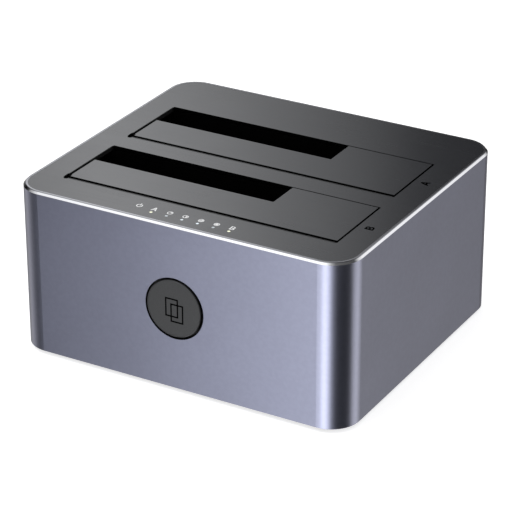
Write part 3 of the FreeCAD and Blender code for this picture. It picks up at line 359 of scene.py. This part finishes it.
def blasted_sleeve():
    """Blasted, dyed aluminium with a bright cut bevel."""
    made, tree, shader = new_finish("anodised_aluminium_sleeve", _Metallic=1.0)
    where = add(tree, "TexCoord")
    place = where.outputs["Object"]
    # 0.1 mm pits are too fine to show, so they are drawn 1.5 mm across and faint
    pits = add(tree, "TexNoise", _Vector=place, _Scale=per_mm(1.5), _Detail=1.0)
    # the dye bath colours a long wall unevenly by a percent or two
    bath = add(tree, "TexNoise", _Vector=place, _Scale=per_mm(30), _Detail=2.0)
    dye = add(tree, "Mix", data_type="RGBA", _Factor=bath.outputs["Fac"],
              _6=colour("#9194A8"), _7=colour("#989BB0"))
    speck = add(tree, "MapRange", _Value=pits.outputs["Fac"], _1=0.35, _2=0.65, _3=0.98, _4=1.02)
    toned = add(tree, "VectorMath", operation="SCALE", _0=dye.outputs[2], _Scale=speck.outputs[0])
    facing = add(tree, "SeparateXYZ", _Vector=where.outputs["Normal"])
    # 1 on the 45-degree bevel, whose normal's Z is 0.71, below its last 0.2 mm, and 0 on
    # walls and flat rim
    tilt = add(tree, "Math", operation="COMPARE", _0=facing.outputs["Z"], _1=0.7, _2=0.25)
    part = add(tree, "SeparateXYZ", _Vector=place)
    under = add(tree, "Math", operation="LESS_THAN", _0=part.outputs["Z"], _1=RIM_Z_MM * MM)
    cut = add(tree, "Math", operation="MULTIPLY", _0=tilt.outputs[0], _1=under.outputs[0])
    # the rim above it is turned, then dyed only lightly, so it is a plain grey
    rim = add(tree, "Mix", data_type="RGBA", _Factor=under.outputs[0],
              _6=colour("#8E8E92"), _7=toned.outputs[0])
    bare = add(tree, "Mix", data_type="RGBA", _Factor=cut.outputs[0],
               _6=rim.outputs[2], _7=colour("#F2F2F4"))
    # painted shade: the button's hole and a ring round it are coloured near black
    reach = add(tree, "VectorMath", operation="DISTANCE", _0=place,
                _1=[c * MM for c in SHADE_RING_AT_MM])
    in_shade_ring = add(tree, "Math", operation="LESS_THAN", _0=reach.outputs["Value"],
                 _1=SHADE_RING_R_MM * MM)
    shade_ringed = add(tree, "Mix", data_type="RGBA", _Factor=in_shade_ring.outputs[0],
                 _6=bare.outputs[2], _7=colour("#050505"))
    tree.links.new(shade_ringed.outputs[2], shader.inputs["Base Color"])
    # the blasting is even from pit to pit, but a wall is a little silkier in some places
    silk = add(tree, "MapRange", _Value=bath.outputs["Fac"], _1=0.3, _2=0.7, _3=0.28, _4=0.3)
    gloss = add(tree, "Mix", data_type="FLOAT", _Factor=cut.outputs[0],
                _2=silk.outputs[0], _3=0.12)
    tree.links.new(gloss.outputs[0], shader.inputs["Roughness"])
    lift = add(tree, "Bump", _Height=pits.outputs["Fac"], _Strength=0.06, _Distance=0.008 * MM)
    tree.links.new(lift.outputs["Normal"], shader.inputs["Normal"])
    return made


sleeve_metal = blasted_sleeve()
print("sleeve:", sleeve_metal.name)

# %% [markdown]
# ## Small metal parts
# Pins and springs are drawn wire, with fine lines along the wire from the die. The
# USB shell is nickel-plated sheet, the screws are black-oxide steel, the cans are bare
# aluminium and the contacts are gold flash. All are metals, so the colour is in the
# reflection and the index stays as it is; what sets them apart is tint and roughness.
# %% A function for small metal parts
def drawn_metal(name, hex_text, rough, line_mm, stretch):
    """A metal with fine lines; stretch is how much longer the lines are than wide, per axis."""
    made, tree, shader = new_finish(name, _Metallic=1.0)
    where = add(tree, "TexCoord")
    squeeze = add(tree, "Mapping", _Vector=where.outputs["Object"],
                  _Scale=[1 / s for s in stretch])
    lines = add(tree, "TexNoise", _Vector=squeeze.outputs[0], _Scale=per_mm(line_mm),
                _Detail=3.0)
    base = colour(hex_text)
    tone = add(tree, "Mix", data_type="RGBA", _Factor=lines.outputs["Fac"],
               _6=[c * 0.85 for c in base[:3]] + [1],
               _7=[min(1, c * 1.1) for c in base[:3]] + [1])
    tree.links.new(tone.outputs[2], shader.inputs["Base Color"])
    wear = add(tree, "MapRange", _Value=lines.outputs["Fac"], _1=0.3, _2=0.7,
               _3=rough - 0.05, _4=rough + 0.07)
    tree.links.new(wear.outputs[0], shader.inputs["Roughness"])
    lift = add(tree, "Bump", _Height=lines.outputs["Fac"], _Strength=0.3, _Distance=0.01 * MM)
    tree.links.new(lift.outputs["Normal"], shader.inputs["Normal"])
    return made


# ground pins and drawn wire shine along thin lines; plated sheet is warmer and smoother
pin_steel = drawn_metal("ground_steel_pin", "#B9B9B6", 0.25, 0.15, (12, 1, 1))
spring_steel = drawn_metal("drawn_spring_steel", "#B4B3AE", 0.28, 0.12, (4, 1, 1))
shell_nickel = drawn_metal("nickel_plated_usb_shell", "#C9C6BE", 0.28, 0.3, (1, 6, 1))
# gold flash is a thin warm tint, a can is brushed from end to end, and black oxide is
# dark with a faint oily shine
contact_gold = drawn_metal("gold_flashed_contact", "#D8B25C", 0.3, 0.2, (1, 1, 5))
can_metal = drawn_metal("bare_aluminium_can", "#CDCED0", 0.3, 0.3, (1, 1, 4))
screw_oxide = drawn_metal("black_oxide_screw", "#2B2B2E", 0.42, 0.2, (1, 1, 1))
print("metals:", [m.name for m in bpy.data.materials if "steel" in m.name])

# %% [markdown]
# ## Boards, lamps and the light guide
# The boards are glass-epoxy under green solder mask. The mask lies thinner over the
# copper, so tracks show as paler lines. Drawing a circuit would take long and hardly be
# seen, and a brick texture at track pitch gives the look. Lamps are clear resin, and the
# light guide carries their light up to six pinholes in the lid. Its tips glow: the
# first and last a warm white and the rest a cool one.
# %% The boards
def masked_board():
    """Glass-epoxy board with tracks and weave under a green mask."""
    made, tree, shader = new_finish("solder_masked_board", _IOR=1.5, _Roughness=0.3)
    where = add(tree, "TexCoord")
    tracks = add(tree, "TexBrick", _Vector=where.outputs["Object"], _Scale=per_mm(1.0),
                 _Brick_Width=6.0, _Row_Height=1.27, _Mortar_Size=0.12, _Color1=colour("#0E4326"),
                 _Color2=colour("#0C3C22"), _Mortar=colour("#1C6B3E"))
    weave = add(tree, "TexNoise", _Vector=where.outputs["Object"], _Scale=per_mm(0.5))
    tree.links.new(tracks.outputs["Color"], shader.inputs["Base Color"])
    lift = add(tree, "Bump", _Height=tracks.outputs["Fac"], _Strength=0.3, _Distance=0.03 * MM)
    fine = add(tree, "Bump", _Height=weave.outputs["Fac"], _Strength=0.1, _Distance=0.02 * MM,
               _Normal=lift.outputs["Normal"])
    tree.links.new(fine.outputs["Normal"], shader.inputs["Normal"])
    return made


board_mask = masked_board()
print("boards:", board_mask.name)

# %% The light guide and the lamps
TIP_PITCH_MM, TIP_Z_MM, TIP_GLOW = 5.9, 60.9, 0.9
TIP_TINTS = ("#EEEFC4", "#8E989E", "#B6C2C8", "#C6D4DC", "#8A9499", "#F2F3C8")


def lit_guide():
    """Clear acrylic whose tips glow, warm over the two end lamps and cool between."""
    made, tree, shader = new_finish("clear_acrylic_light_guide", _IOR=1.49, _Roughness=0.2)
    where = add(tree, "TexCoord")
    part = add(tree, "SeparateXYZ", _Vector=where.outputs["Object"])
    # the six tips stand two pitches left to three right of the middle
    along = add(tree, "MapRange", _Value=part.outputs["X"], _1=-2.5 * TIP_PITCH_MM * MM,
                _2=3.5 * TIP_PITCH_MM * MM)
    lamps = add(tree, "ValToRGB", _Fac=along.outputs[0])
    stops = lamps.color_ramp
    stops.interpolation = "CONSTANT"
    for step, tone in enumerate(TIP_TINTS):
        at = step / len(TIP_TINTS)
        stop = stops.elements[step] if step < 2 else stops.elements.new(at)
        stop.position, stop.color = at, colour(tone)
    haze = add(tree, "TexNoise", _Vector=where.outputs["Object"], _Scale=per_mm(0.8))
    dull = add(tree, "MapRange", _Value=haze.outputs["Fac"], _3=0.15, _4=0.3)
    shader.inputs["Base Color"].default_value = colour("#8A8D90")
    tree.links.new(lamps.outputs["Color"], shader.inputs["Emission Color"])
    tip = add(tree, "Math", operation="GREATER_THAN", _0=part.outputs["Z"], _1=TIP_Z_MM * MM)
    glow = add(tree, "Math", operation="MULTIPLY", _0=tip.outputs[0], _1=TIP_GLOW)
    tree.links.new(glow.outputs[0], shader.inputs["Emission Strength"])
    tree.links.new(dull.outputs[0], shader.inputs["Roughness"])
    return made


guide_acrylic = lit_guide()
# the lamps' resin is clear and hard: pale, with a small sharp shine
lamp_resin = grained("clear_lamp_resin", "#DDE3DA", 0.2, grain_mm=0.4, depth_mm=0.004)
print("lit from:", guide_acrylic.name, lamp_resin.name)

# %% [markdown]
# ## Give every part its finish
# Each solid already knows which finish it should have, because the frame's record
# gives each part a named slot. The table below pairs those slots with the materials.
# %% Assign the finishes
FINISH_OF_SLOT = {
    "sleeve_aluminium": sleeve_metal, "top_plastic": lid_coat, "flap_plastic": flap_coat,
    "base_plastic": base_abs, "foot_rubber": foot_rubber, "cage_plastic": cage_abs,
    "pin_steel": pin_steel, "spring_steel": spring_steel, "button_plastic": button_abs,
    "switch_plastic": switch_nylon, "board_laminate": board_mask, "lamp_resin": lamp_resin,
    "light_pipe": guide_acrylic, "header_plastic": switch_nylon, "socket_plastic": socket_nylon,
    "contact_gold": contact_gold, "shell_steel": shell_nickel, "tongue_plastic": tongue_nylon,
    "power_plastic": power_abs, "chip_resin": chip_resin, "ferrite": ferrite_core,
    "can_aluminium": can_metal, "screw_steel": screw_oxide}
for part in frame["record"]["subparts"]:
    piece = nodes[part["node"]]
    for place in piece.material_slots:
        place.material = FINISH_OF_SLOT[part["material_slot"]]

# %% [markdown]
# ## Printed marks
# The marks are pad-printed ink, a few hundredths of a millimetre thick. They could be
# an image on the lid, but an image has a fixed sharpness and no thickness. Here each
# mark is a flat closed outline, filled and given the ink's thickness by a 2D curve,
# then turned to a mesh. An outline inside another becomes a hole.
# %% The inks
def ink(name, hex_text, glint=0.5):
    """Pad-printing ink: matt, a little thin in places, so that the lid shows through."""
    made, tree, shader = new_finish(name, _IOR=1.5, _Specular_IOR_Level=glint, _Roughness=0.6)
    where = add(tree, "TexCoord")
    cover = add(tree, "TexNoise", _Vector=where.outputs["Object"], _Scale=per_mm(0.25),
                _Detail=3.0)
    full = colour(hex_text)
    thin = add(tree, "Mix", data_type="RGBA", _Factor=cover.outputs["Fac"],
               _6=[c * 0.9 for c in full[:3]] + [1], _7=full)
    tree.links.new(thin.outputs[2], shader.inputs["Base Color"])
    lift = add(tree, "Bump", _Height=cover.outputs["Fac"], _Strength=0.2, _Distance=0.01 * MM)
    tree.links.new(lift.outputs["Normal"], shader.inputs["Normal"])
    return made


# the black ink is loaded with matting agent, so no light glances off it
white_ink = ink("white_pad_ink", "#F6F7F8")
# the same black ink also paints the shade in the two hinge dimples
black_ink_and_shade = ink("matt_black_pad_ink_and_shade", "#030303", 0.0)
print("inks:", white_ink.name, black_ink_and_shade.name)

# %% A function that prints a mark
INK_MM = 0.04


def printed(name, outlines, place, material, body, scale=1.0, bolder=0.0):
    """Print a mark from outlines in millimetres, set down by the place matrix. bolder
    widens its lines, in millimetres."""
    curve = bpy.data.curves.new(name, "CURVE")
    curve.offset = bolder
    curve.dimensions, curve.fill_mode = "2D", "BOTH"
    curve.extrude = INK_MM / 2
    for outline in outlines:
        spline = curve.splines.new("POLY")
        spline.points.add(len(outline) - 1)
        for point, (x, y) in zip(spline.points, outline):
            point.co = (x * scale, y * scale, 0, 1)
        spline.use_cyclic_u = True
    pattern = bpy.data.objects.new(name + "_pattern", curve)
    mesh = bpy.data.meshes.new_from_object(pattern)
    bpy.data.objects.remove(pattern)
    mesh.name = name
    mesh.transform(Matrix.Scale(MM, 4))
    mesh.transform(place)
    mesh.materials.append(material)
    piece = bpy.data.objects.new(name, mesh)
    bpy.context.scene.collection.objects.link(piece)
    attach(piece, body)


print("ink is", INK_MM, "mm thick")

# %% The outlines of the marks
def ring_part(inner, outer, start, end, steps=28):
    """The outline of a ring's arc in degrees, anticlockwise from +X; inner 0 gives a pie."""
    angles = [math.radians(start + (end - start) * i / steps) for i in range(steps + 1)]
    rim = [(outer * math.cos(a), outer * math.sin(a)) for a in angles]
    if inner == 0:
        return rim + [(0, 0)]
    return rim + [(inner * math.cos(a), inner * math.sin(a)) for a in reversed(angles)]


def round_outline(radius, steps=40):
    """The outline of a disc."""
    angles = [2 * math.pi * i / steps for i in range(steps)]
    return [(radius * math.cos(a), radius * math.sin(a)) for a in angles]


def box_outline(x0, y0, x1, y1):
    """The outline of a rectangle from its lower left and upper right corners."""
    return [(x0, y0), (x1, y0), (x1, y1), (x0, y1)]


# both letters are 1 high: an outline, and the holes in it
LETTER_A = [[(-0.45, -0.5), (-0.27, -0.5), (-0.18, -0.26), (0.18, -0.26), (0.27, -0.5),
             (0.45, -0.5), (0.1, 0.5), (-0.1, 0.5)], [(-0.12, -0.1), (0.12, -0.1), (0, 0.26)]]
LETTER_B = [[(-0.37, -0.5), (0.12, -0.5), (0.29, -0.44), (0.37, -0.31), (0.37, -0.16),
             (0.3, -0.04), (0.21, 0.02), (0.29, 0.08), (0.33, 0.18), (0.33, 0.3),
             (0.26, 0.43), (0.1, 0.5), (-0.37, 0.5)],
            [(-0.19, -0.35), (0.09, -0.35), (0.18, -0.28), (0.18, -0.16), (0.09, -0.08),
             (-0.19, -0.08)],
            [(-0.19, 0.08), (0.07, 0.08), (0.14, 0.14), (0.14, 0.27), (0.07, 0.35), (-0.19, 0.35)]]
print("letters of", len(LETTER_A), "and", len(LETTER_B), "outlines")

# %% [markdown]
# ## The status row
# A line of seven small icons runs along the lid's front strip: power, bay A, four
# stages of the copy as filling discs, and bay B. Each of the last six stands over its
# own pinhole lamp. They could be placed one by one, but their pitch is that of the light
# guide's tips, so a loop steps along it.
# %% Print the status row
lid_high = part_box("top_panel")[1]
ROW_PITCH_MM, ROW_Y_MM = TIP_PITCH_MM, -48.0
DISC_R_MM, DISC_LINE_MM, FILL_R_MM = 1.05, 0.32, 0.6
POWER_MARK = [ring_part(0.84, 1.24, 120, 420), box_outline(-0.2, 0.2, 0.2, 1.75)]
POWER_SCALE, STATUS_LETTER_MM = 0.92, 2.35


def on_lid(x_mm, y_mm):
    """Where a mark lies on the lid's top face."""
    return Matrix.Translation((x_mm * MM, y_mm * MM, lid_high.z + INK_MM / 2 * MM))


for step in range(-3, 4):
    if step == -3:
        name, outlines, scale = "mark_power", POWER_MARK, POWER_SCALE
    elif step == -2:
        name, outlines, scale = "mark_bay_a", LETTER_A, STATUS_LETTER_MM
    elif step == 3:
        name, outlines, scale = "mark_bay_b", LETTER_B, STATUS_LETTER_MM
    else:
        share = (step + 2) / 4
        name, scale = "mark_copied_" + str(round(share * 100)), 1.0
        fill = ring_part(0, FILL_R_MM, 90 - 360 * share, 90)
        if share == 1:
            fill = round_outline(FILL_R_MM)
        outlines = [round_outline(DISC_R_MM), round_outline(DISC_R_MM - DISC_LINE_MM), fill]
    printed(name, outlines, on_lid(step * ROW_PITCH_MM, ROW_Y_MM), white_ink, "housing",
            scale)
print("status row at", ROW_Y_MM, "mm, pitch", ROW_PITCH_MM, "mm")

# %% [markdown]
# ## Bay letters
# Beside each bay a small black letter says which drive it is. It is turned a quarter,
# so that it reads from the right-hand side. A text object would bring in a font, so
# the outlines of the status row's letters are used again, larger and a little bolder.
# %% Print the bay letters
LETTER_X_MM, LETTER_MM, BOLDER_MM = 56.1, 2.9, 0.06
QUARTER_TURN = Matrix.Rotation(math.radians(90), 4, "Z")
for name, outlines, y_mm in (("letter_bay_a", LETTER_A, 14.0), ("letter_bay_b", LETTER_B, -26.2)):
    printed(name, outlines, on_lid(LETTER_X_MM, y_mm) @ QUARTER_TURN, black_ink_and_shade, "housing",
            LETTER_MM, bolder=BOLDER_MM)
print("letters", LETTER_MM, "mm high")

# %% [markdown]
# ## Hinge dimples
# Each flap's pin was pushed in from the left, through a round dimple in the lid. It
# could be hollowed out, but it is so shallow that only its dark shows, so its shade is
# painted as a black spot.
# %% Paint shade in the two dimples
DIMPLE_R_MM, DIMPLE_X_MM, DIMPLE_AHEAD_MM = 0.85, -51.35, 0.6
# painted shade: a black spot of ink over each dimple
for name, front_mm in zip(("hinge_dimple_shade_b", "hinge_dimple_shade_a"), BAY_FRONTS_MM):
    printed(name, [round_outline(DIMPLE_R_MM)], on_lid(DIMPLE_X_MM, front_mm - DIMPLE_AHEAD_MM),
            black_ink_and_shade, "housing")
print("dimples", 2 * DIMPLE_R_MM, "mm across")

# %% [markdown]
# ## The sleeve's lip
# The thin top edge of the sleeve laps over the lid by half a millimetre and hides the
# seam. It could be cut from the sleeve, but the frame's solids stay as they are. It is
# the same metal and follows the same rounded outline, so it is two closed outlines, one
# inside the other, filled between like a printed mark.
# %% Lap the sleeve over the lid
LIP_MM, SEAM_MM, LID_CORNER_MM = 0.5, 0.08, 9.42


def rounded_outline(half_x, half_y, radius, steps=12):
    """The outline of a rectangle with rounded corners, round the middle."""
    spots = []
    for sign_x, sign_y, start in ((1, 1, 0), (-1, 1, 90), (-1, -1, 180), (1, -1, 270)):
        for step in range(steps + 1):
            turn = math.radians(start + 90 * step / steps)
            spots.append((sign_x * (half_x - radius) + radius * math.cos(turn),
                          sign_y * (half_y - radius) + radius * math.sin(turn)))
    return spots


edge_x, edge_y = lid_high.x / MM, lid_high.y / MM
lip_lines = [rounded_outline(*(size + SEAM_MM - inset for size in (edge_x, edge_y, LID_CORNER_MM)))
             for inset in (0, LIP_MM)]
printed("sleeve_lip", lip_lines, on_lid(0, 0), sleeve_metal, "housing")
print("lip of", LIP_MM, "mm round", round(edge_x, 2), "by", round(edge_y, 2), "mm")

# %% [markdown]
# ## The copy mark on the button
# Two overlapping sheets in thin line are the usual sign for copying. They could be
# engraved, but a print in the button's shallow dish looks the same: a thumb can't rub it
# off there. The mark rides on the button and moves with it.
# %% Print the copy mark
button_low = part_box("clone_button")[0]
DISH_MM, LINE_MM = 0.08, 0.5
PLACE_ON_FACE = Matrix.Rotation(math.radians(90), 4, "X")
SHEETS_MM = (("back_sheet", -3.25, 28.05, 1.7, 34.9),
             ("front_sheet", -1.25, 26.25, 3.65, 33.0))
face_y = button_low.y + (DISH_MM - INK_MM / 2) * MM
for name, x0, z0, x1, z1 in SHEETS_MM:
    at = Matrix.Translation((0, face_y, 0)) @ PLACE_ON_FACE
    frame_line = [box_outline(x0, z0, x1, z1),
                  box_outline(x0 + LINE_MM, z0 + LINE_MM, x1 - LINE_MM, z1 - LINE_MM)]
    printed("copy_mark_" + name, frame_line, at, black_ink_and_shade, "clone_button")
print("copy mark on a face at y", round(face_y / MM, 2), "mm")

# %% [markdown]
# ## The copy button's spring
# Behind the copy button a short coil of steel wire pushes it back out. A solid coil
# can't shorten, so it would run into the button when that is pressed. Here it is wound
# again as a swept curve in the same place.
# %% Wind the spring
def wound(name, spots, wire_mm):
    """A spring: round wire swept along spots, given in metres."""
    wire = bpy.data.curves.new(name, "CURVE")
    wire.dimensions, wire.bevel_depth, wire.bevel_resolution = "3D", wire_mm / 2 * MM, 3
    wire.use_fill_caps = True
    line = wire.splines.new("POLY")
    line.points.add(len(spots) - 1)
    for point, spot in zip(line.points, spots):
        point.co = (*spot, 1)
    pattern = bpy.data.objects.new(name + "_pattern", wire)
    spring = bpy.data.objects.new(name, bpy.data.meshes.new_from_object(pattern))
    bpy.data.objects.remove(pattern)
    spring.data.materials.clear()
    spring.data.materials.append(spring_steel)
    spring.data.shade_smooth()
    bpy.context.scene.collection.objects.link(spring)
    return spring


WIRE_MM, TURNS, STEPS, PRESS_MM = 0.6, 3, 96, 0.6
spring_low, spring_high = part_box("button_spring")
middle, deep = (spring_low + spring_high) / 2, spring_high.y - spring_low.y
coil_r = (spring_high.x - spring_low.x) / 2 - WIRE_MM / 2 * MM
# the wire slants, so its ends reach a little further than its own thickness
travel = deep - 1.05 * WIRE_MM * MM
coil_spots = []
for step in range(STEPS + 1):
    share = step / STEPS
    turn = 2 * math.pi * TURNS * share
    coil_spots.append((middle.x + coil_r * math.cos(turn), middle.y + (share - 0.5) * travel,
                       middle.z + coil_r * math.sin(turn)))
button_coil = wound("button_coil", coil_spots, WIRE_MM)
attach(button_coil, "housing")
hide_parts("button_spring")
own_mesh(button_coil)
print("spring of", TURNS, "turns,", round(deep / MM, 2), "mm long")

# %% [markdown]
# ## The flap springs
# A torsion spring sits round each hinge pin and closes the flap. One leg stands down
# beside the cage and the other lies under the flap. When a drive pushes the flap down,
# the coil winds up and the second leg goes down with the flap. Each spring is wound
# again here as a swept wire with both legs.
# %% Wind the flap springs
FLAP_WIRE_MM, FLAP_COIL_MM, FLAP_PITCH_MM, FLAP_LEG_MM, FLAP_TURNS = 0.4, 1.15, 0.55, 9.0, 3.25
PIN_Z_MM, COIL_START_MM = 57.9, -50.8375
# the legs run on at the slant of the coil, so they end this far to the side
lean = FLAP_PITCH_MM / (2 * math.pi * FLAP_COIL_MM) * FLAP_LEG_MM
for letter, pin_y in (("a", 0.0), ("b", -40.0)):
    spots = []
    for step in range(STEPS + 1):
        share = step / STEPS
        turn = math.pi - 2 * math.pi * FLAP_TURNS * share
        spots.append((COIL_START_MM + share * FLAP_TURNS * FLAP_PITCH_MM,
                      pin_y + FLAP_COIL_MM * math.cos(turn),
                      PIN_Z_MM + FLAP_COIL_MM * math.sin(turn)))
    (x0, y0, z0), (x1, y1, z1) = spots[0], spots[-1]
    spots = [(x0 - lean, y0, z0 - FLAP_LEG_MM), *spots, (x1 + lean, y1 + FLAP_LEG_MM, z1)]
    flap_coil = wound("flap_coil_" + letter, [tuple(v * MM for v in spot) for spot in spots],
                      FLAP_WIRE_MM)
    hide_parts("flap_spring_" + letter)
    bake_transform(flap_coil)
print("flap springs of", FLAP_TURNS, "turns, with legs of", FLAP_LEG_MM, "mm")

# %% [markdown]
# ## The studio
# A plain pale floor and a white world stand in for a light tent. Silky metal shows
# whatever stands round it, so a white that is the same everywhere would make it flat.
# It could be lit by many lamps, but then each plastic would change too. So the world
# gives an even light, and the cards that shape the metal come after it.
# %% The world
def whitened(tree):
    """1 for camera, glossy and transmission rays, which see the plain white backdrop."""
    path = add(tree, "LightPath").outputs
    two = add(tree, "Math", operation="MAXIMUM", _0=path["Is Camera Ray"], _1=path["Is Glossy Ray"])
    three = add(tree, "Math", operation="MAXIMUM", _0=two.outputs[0],
                _1=path["Is Transmission Ray"])
    return three.outputs[0]


WORLD_LEVEL = 0.5
world = bpy.data.worlds.new("studio")
bpy.context.scene.world = world
world.use_nodes = True
sky = world.node_tree
sky.nodes.clear()
fill_light = add(sky, "Background", _Color=colour("#FFFFFF"), _Strength=WORLD_LEVEL)
backdrop = add(sky, "Background", _Color=colour("#FFFFFF"), _Strength=1.0)
both = add(sky, "MixShader", _0=whitened(sky), _1=fill_light.outputs[0], _2=backdrop.outputs[0])
add(sky, "OutputWorld", _Surface=both.outputs[0])


print("world level", WORLD_LEVEL)

# %% The floor
def studio_sheet(name, spots, faces, material):
    """Sheets of studio gear, which aren't part of the object."""
    mesh = bpy.data.meshes.new(name)
    mesh.from_pydata(spots, [], faces)
    mesh.materials.append(material)
    made = bpy.data.objects.new(name, mesh)
    bpy.context.scene.collection.objects.link(made)
    return made


# matt white paper: it takes a soft shadow and shines back nothing
FLOOR_LEVEL = 0.72
floor_paper, tree, shader = new_finish("matt_paper_floor", _Base_Color=colour("#D8D8D8"),
                                       _Roughness=0.95)
shader.inputs["Specular IOR Level"].default_value = 0.0
shader.inputs["Emission Color"].default_value = colour("#FFFFFF")
lit = add(tree, "Math", operation="MULTIPLY", _0=whitened(tree), _1=FLOOR_LEVEL)
tree.links.new(lit.outputs[0], shader.inputs["Emission Strength"])
# the paper lies 0.1 mm under the feet, so that the two never share a plane
REACH, UNDER = 3.0, -0.1 * MM
floor_spots = [(x, y, UNDER) for x, y in box_outline(-REACH, -REACH, REACH, REACH)]
floor = studio_sheet("floor", floor_spots, [(0, 1, 2, 3)], floor_paper)
floor.visible_glossy = False
print("floor", 2 * REACH, "m across")

# %% [markdown]
# ## The cards round it
# Bright strips give the long highlights on the corners, and the dark gaps between cards
# give the metal its depth. The cards could be separate sheets, but on one ring of paper
# they blend from card to card as soft light does. There are two rings: a wall that
# hangs below the table's level, where the sleeve's walls look, and a dome over the
# lid. Only glossy rays see them, so they shape reflections and leave the light on the
# plastics and the floor as it is.
# %% A function for a ring of paper
def tent(name, rows, levels, paper_white="#FFFFFF", warm=()):
    """Paper round the object, lit to a level at each heading (from +X, anticlockwise) and
    row. The steps of heading in warm get a warmer light."""
    count = len(levels[0])
    spots, values, faces = [], [], []
    for (radius, height), row in zip(rows, levels):
        for step, level in enumerate(row):
            turn = 2 * math.pi * step / count
            spots.append((radius * math.cos(turn), radius * math.sin(turn), height))
            tint = colour("#FFFCF6" if step in warm else paper_white)
            values += [level * c for c in tint[:3]] + [1]
    for lower in range(len(rows) - 1):
        for step in range(count):
            a, b = lower * count + step, lower * count + (step + 1) % count
            faces.append((a, b, b + count, a + count))
    paper = bpy.data.materials.new(name)
    # only reflections meet it, so no lamp rays need aiming at it
    paper.cycles.emission_sampling = "NONE"
    paper.use_nodes = True
    tree = paper.node_tree
    tree.nodes.clear()
    level = add(tree, "Attribute", attribute_name="level")
    glow = add(tree, "Emission", _Color=level.outputs["Color"], _Strength=1.0)
    add(tree, "OutputMaterial", _Surface=glow.outputs[0])
    ring = studio_sheet(name, spots, faces, paper)
    lit = ring.data.attributes.new("level", "FLOAT_COLOR", "POINT")
    lit.data.foreach_set("color", values)
    ring.visible_camera = ring.visible_diffuse = ring.visible_shadow = False
    ring.visible_transmission = ring.visible_volume_scatter = False

# %% A function for a soft card
def card_light(heading, middle, half_width, soft, level):
    """What a card gives at one heading, in degrees: full in its middle, none at its edge."""
    off = (heading - middle + 180) % 360 - 180
    return level * min(1, max(0, (half_width - abs(off)) / soft))


# %% Light the low wall
# Walls mirror what lies below the horizon, so the low cards shape the metal. Each has
# its middle, its half width and its soft edge in degrees, and its level. The corner
# strip gives the bright line beside the front right corner, and the gap after it the
# dark one. A half width of 360 goes all the way round.
LOW_CARDS = {
    "right card": (26, 24, 14, 1.35),
    "right slit": (61, 14, 14, 0.49),
    "back card": (117, 36, 22, 1.4),
    "left card": (182, 34, 34, 0.8),
    "left fill": (222, 14, 12, 0.12),
    "front card": (262, 29, 21, 1.62),
    "corner strip": (283, 19, 12, 2.4),
    "room": (0, 360, 1, 0.05),
}
LOW_STEPS = 30
LOW = [sum(card_light(360 * step / LOW_STEPS, *card) for card in LOW_CARDS.values())
       for step in range(LOW_STEPS)]
LOW_R, LOW_FOOT = 0.5, -1.5
tent("tent_low", [(LOW_R, LOW_FOOT), (LOW_R, 0)], [LOW, LOW], warm=range(0, 18))
print("low wall:", ", ".join(LOW_CARDS))

# %% Light the dome
# The lid mirrors the back left at about 26 degrees up, and the bevel what is overhead.
# A box is a card with an elevation and a half height too, in degrees, and it fades to
# nothing above and below. The back left box is nearly out at 105, so the lid falls off
# from its left to its right.
DOME_BOXES = {
    "right box": ((46, 30, 20, 1.35), 14, 78),
    "back left box": ((136, 33, 33, 2.85), 46, 52),
    "front left box": ((250, 57, 25, 1.55), 62, 45),
    "front low box": ((288, 55, 40, 0.5), 8, 45),
    "overhead": ((0, 360, 1, 0.32), 90, 55),
}


def dome_light(heading, elevation):
    """What the boxes of the dome give in one direction."""
    return sum(card_light(heading, *card) * max(0, 1 - abs(elevation - middle) / half_height)
               for card, middle, half_height in DOME_BOXES.values())


DOME_STEPS = 24
DOME_R, DOME_ELEVATIONS = 0.35, (1, 26, 52, 80)
DOME_ROWS = [(DOME_R * math.cos(math.radians(e)), DOME_R * math.sin(math.radians(e)))
             for e in DOME_ELEVATIONS]
DOME = [[dome_light(360 * step / DOME_STEPS, e) for step in range(DOME_STEPS)]
        for e in DOME_ELEVATIONS]
tent("tent_high", DOME_ROWS, DOME, "#FCFDFF")
print("dome:", ", ".join(DOME_BOXES))

# %% [markdown]
# ## The lamp
# One weak, wide lamp overhead gives the plastics and the floor a soft direction. It
# could be a bright one, but the metal's own highlights already say where light comes
# from. It is kept out of reflections, where the dome has its place.
# %% Hang the lamp
def lamp(name, at, aim, size, watts):
    """A rectangular area lamp that looks from one point to another."""
    data = bpy.data.lights.new(name, "AREA")
    data.shape, data.size, data.size_y = "RECTANGLE", *size
    data.energy = watts
    made = bpy.data.objects.new(name, data)
    bpy.context.scene.collection.objects.link(made)
    made.location = at
    made.rotation_mode = "QUATERNION"
    made.rotation_quaternion = (Vector(aim) - Vector(at)).to_track_quat("-Z", "Y")
    made.visible_glossy = False


lamp("overhead", at=(-0.3, -0.2, 1.2), aim=(0, 0, 0), size=(1.0, 1.0), watts=8)
print("lamps:", [light.name for light in bpy.data.lights])
